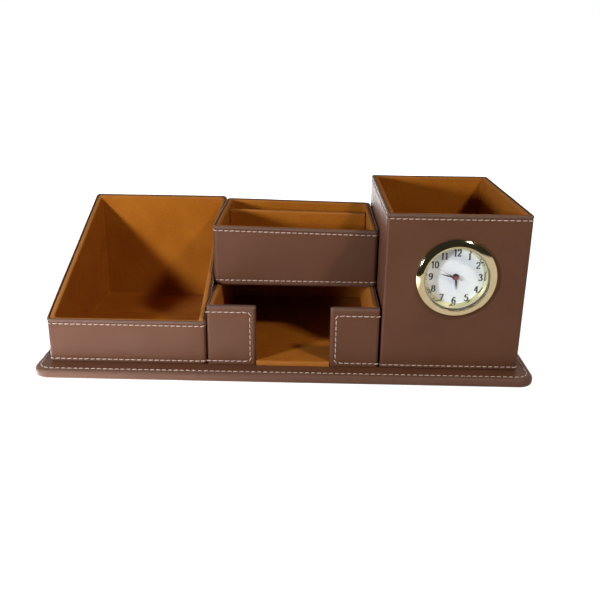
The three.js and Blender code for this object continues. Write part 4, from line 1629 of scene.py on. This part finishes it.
@dataclass
class Studio:
    """Camera, floor, background and lamps."""

    camera_place: Triple = (16.5011, -497.4234, 203.8576)
    pitch: float = -0.33902
    yaw: float = 0.0191
    roll: float = -0.01328
    lens: float = 44.6
    sensor: float = 36.0
    ambient: float = 0.03
    ambient_colour: Triple = (1.0, 0.985, 0.97)
    reflected: float = 0.78
    # Strength of a painted glow on the floor at the left, near the object, seen only in
    # reflections and standing in for a lamp; it puts a painted sheen on the leather on the left.
    near_reflected: float = 7.5
    near_across: tuple[float, float] = (-0.15, 0.01)
    near_forward: tuple[float, float] = (-0.28, -0.18)
    horizon_tilt: float = 0.36
    horizon: tuple[float, float] = (-0.12, -0.06)
    horizon_back: tuple[float, float] = (0.1, 0.35)
    room_colour: Triple = (0.03, 0.035, 0.03)
    sheet_edge: Triple = (-84, -264, 0)
    sheet_normal: Triple = (-0.845, -0.534, 0)
    sheet_blur: float = 0.02
    floor_size: float = 6000.0
    floor_level: float = -0.1
    floor_tone: float = 0.8
    near_glow: float = 0.76
    glow_reach: tuple[float, float] = (0.2, 0.5)

    def build(self) -> None:
        """Make all of the studio."""
        scene = bpy.context.scene
        scene.view_settings.view_transform = "Standard"
        self.build_camera(scene)
        self.build_world(scene)
        self.build_floor(scene)
        for lamp in LAMPS:
            lamp.build()

    def build_camera(self, scene: bpy.types.Scene) -> None:
        """Place the camera at the photograph's viewpoint."""
        data = bpy.data.cameras.new("photo_camera")
        data.lens = self.lens
        data.sensor_width = self.sensor
        data.clip_start = 0.01
        camera = bpy.data.objects.new("photo_camera", data)
        turn = (Matrix.Rotation(self.yaw, 4, "Z") @ Matrix.Rotation(self.roll, 4, "Y")
                @ Matrix.Rotation(self.pitch, 4, "X") @ Matrix.Rotation(math.pi / 2, 4, "X"))
        camera.matrix_world = Matrix.Translation(Vector(self.camera_place) * MM) @ turn
        scene.collection.objects.link(camera)
        scene.camera = camera

    def build_world(self, scene: bpy.types.Scene) -> None:
        """Light from all around, on a white ground, with a dark studio above for reflections."""
        world = bpy.data.worlds.new("studio")
        world.use_nodes = True
        world.node_tree.nodes.clear()
        wires = Wiring(world.node_tree)
        soft, white, pale, dark = (
            wires.add("ShaderNodeBackground", {"Color": (*colour, 1.0), "Strength": strength})
            for colour, strength in (
                (self.ambient_colour, self.ambient), (WHITE, 1.0), (WHITE, self.reflected),
                (self.room_colour, 1.0)))
        path = wires.add("ShaderNodeLightPath").outputs
        way = wires.add("ShaderNodeTexCoord").outputs["Generated"]
        x, y, z = wires.add("ShaderNodeSeparateXYZ", {0: way}).outputs
        height = wires.math("SUBTRACT", z, wires.math("MULTIPLY", x, self.horizon_tilt))
        above = wires.spread(height, 0.0, 1.0, *self.horizon)
        forward = wires.spread(y, 1.0, 0.0, *self.horizon_back)
        mirrored = wires.mix(wires.math("MULTIPLY", above, forward), pale, dark)
        direct = wires.math("MAXIMUM", path["Is Camera Ray"], path["Is Transmission Ray"])
        seen = wires.mix(direct, soft, white)
        wires.add("ShaderNodeOutputWorld", {
            "Surface": wires.mix(path["Is Glossy Ray"], seen, mirrored)})
        scene.world = world

    def build_floor(self, scene: bpy.types.Scene) -> None:
        """Make the plain pale floor, white to the camera except for the object's shadow."""
        half, level = self.floor_size / 2 * MM, self.floor_level * MM
        mesh = bpy.data.meshes.new("floor")
        mesh.from_pydata([(-half, -half, level), (half, -half, level), (half, half, level),
                          (-half, half, level)], [], [(0, 1, 2, 3)])
        floor = bpy.data.objects.new("floor", mesh)
        scene.collection.objects.link(floor)
        made = bpy.data.materials.new("pale_floor")
        made.use_nodes = True
        made.node_tree.nodes.clear()
        wires = Wiring(made.node_tree)
        path = wires.add("ShaderNodeLightPath").outputs
        place = wires.add("ShaderNodeTexCoord").outputs["Object"]
        direct = wires.math("MAXIMUM", path["Is Camera Ray"], path["Is Transmission Ray"])
        away = wires.add("ShaderNodeVectorMath", {0: place}, operation="LENGTH").outputs["Value"]
        glow = wires.add("ShaderNodeEmission", {"Strength": wires.math(
            "MULTIPLY", direct, wires.spread(away, self.near_glow, 1.0, *self.glow_reach))})
        paint = wires.add("ShaderNodeBsdfDiffuse", {"Color": (*[self.floor_tone] * 3, 1.0)})
        seen = wires.add("ShaderNodeAddShader", {0: paint, 1: glow})
        wires.add("ShaderNodeOutputMaterial", {"Surface": wires.mix(
            path["Is Glossy Ray"], seen, self.mirrored_floor(wires, place))})
        mesh.materials.append(made)

    def mirrored_floor(self, wires: Wiring, place: Socket) -> Node:
        """Give what glossy rays see on the floor: a pale sheet, a painted glow at its left near
        the object, and the room.

        The glow, seen only in reflections, stands in for a lamp and puts a painted sheen on the
        leather on the left;
        the room is a dark patch painted beyond a line at the left front, also seen only in
        reflections.
        """
        x, y, _ = wires.add("ShaderNodeSeparateXYZ", {0: place}).outputs
        # Painted sheen: a glow at the left, near the object, that no lamp gives, seen only in
        # reflections.
        painted_sheen_glow = wires.math(
            "MULTIPLY", wires.spread(x, self.near_reflected, 0.0, *self.near_across),
            wires.spread(y, 0.0, 1.0, *self.near_forward))
        sheet = wires.add("ShaderNodeEmission", {
            "Strength": wires.math("ADD", painted_sheen_glow, self.reflected)})
        room = wires.add("ShaderNodeEmission", {
            "Color": (*self.room_colour, 1.0), "Strength": 1.0})
        # Painted reflection: beyond this line at the left front, the floor shows a dark room in
        # reflections only.
        beyond = wires.add("ShaderNodeVectorMath", {
            0: place, 1: tuple(Vector(self.sheet_edge) * MM)}, operation="SUBTRACT")
        side = wires.add("ShaderNodeVectorMath", {
            0: beyond, 1: tuple(Vector(self.sheet_normal))}, operation="DOT_PRODUCT")
        past = wires.spread(side.outputs["Value"], 0.0, 1.0, 0.0, self.sheet_blur)
        return wires.mix(past, sheet, room)


def dress_frame() -> None:
    """Give each node of the frame that stays the finish of its material slot."""
    finishes = {finish.slot: finish for finish in (
        LEATHER, LINING, FELT, BOARD, GOLD, GLASS, DIAL, STEEL, RUBBER, PLASTIC, HANDS,
        SECONDS)}
    for part in frame["record"]["subparts"]:
        node = frame["nodes"][part["node"]]
        finish = finishes[Slot(part["material_slot"])]
        if part["node"] == "clock_dial_ring":
            finish = MIRROR_GOLD
        material = finish.material()
        if not node.material_slots:
            node.data.materials.append(material)
        for place in node.material_slots:
            place.material = material
        log.info("%s: finish %s", part["node"], finish.name)


def boxes() -> list[Box]:
    """Give the three boxes with closed walls."""
    front, back = -64.0, 68.0
    foot, floor = 6.2, 9.3
    bin_ring = Ring(-149.2, -48.8, front, back, outer_radius=2.0)
    upper_ring = Ring(-48.5, 60.9, -22.6, back, outer_radius=2.8, inner_radius=1.4)
    upper_slope = Slope(45.9, 39.0, 39.0, lean=UPPER_LEAN, lean_from=upper_ring.right)
    return [
        Box("bin", bin_ring, Slope(foot, 28.8, 82.0, front, back), floor, 1),
        Box("upper", upper_ring, upper_slope, 50.3, 2, foot_stitch=3.8, foot_radius=2.3,
            closed_below=True),
        Box("cup", Ring(61.5, 148.6, front, back), Slope(foot, 100.0, 100.0), floor, 4,
            hole_radius=21.9),
    ]


def main() -> None:
    """Build the studio and every piece of the organizer, in order."""
    logging.basicConfig(level=logging.INFO, format="%(name)s %(message)s")
    Studio().build()
    dress_frame()
    stitcher = Stitcher(StitchTree())
    BasePlate().build(stitcher)
    FeltSheet().build()
    for box in boxes():
        box.build(stitcher)
    NotchedTray().build(stitcher)
    Divider().build()
    InsertClock().build()


if __name__ == "__main__":
    main()
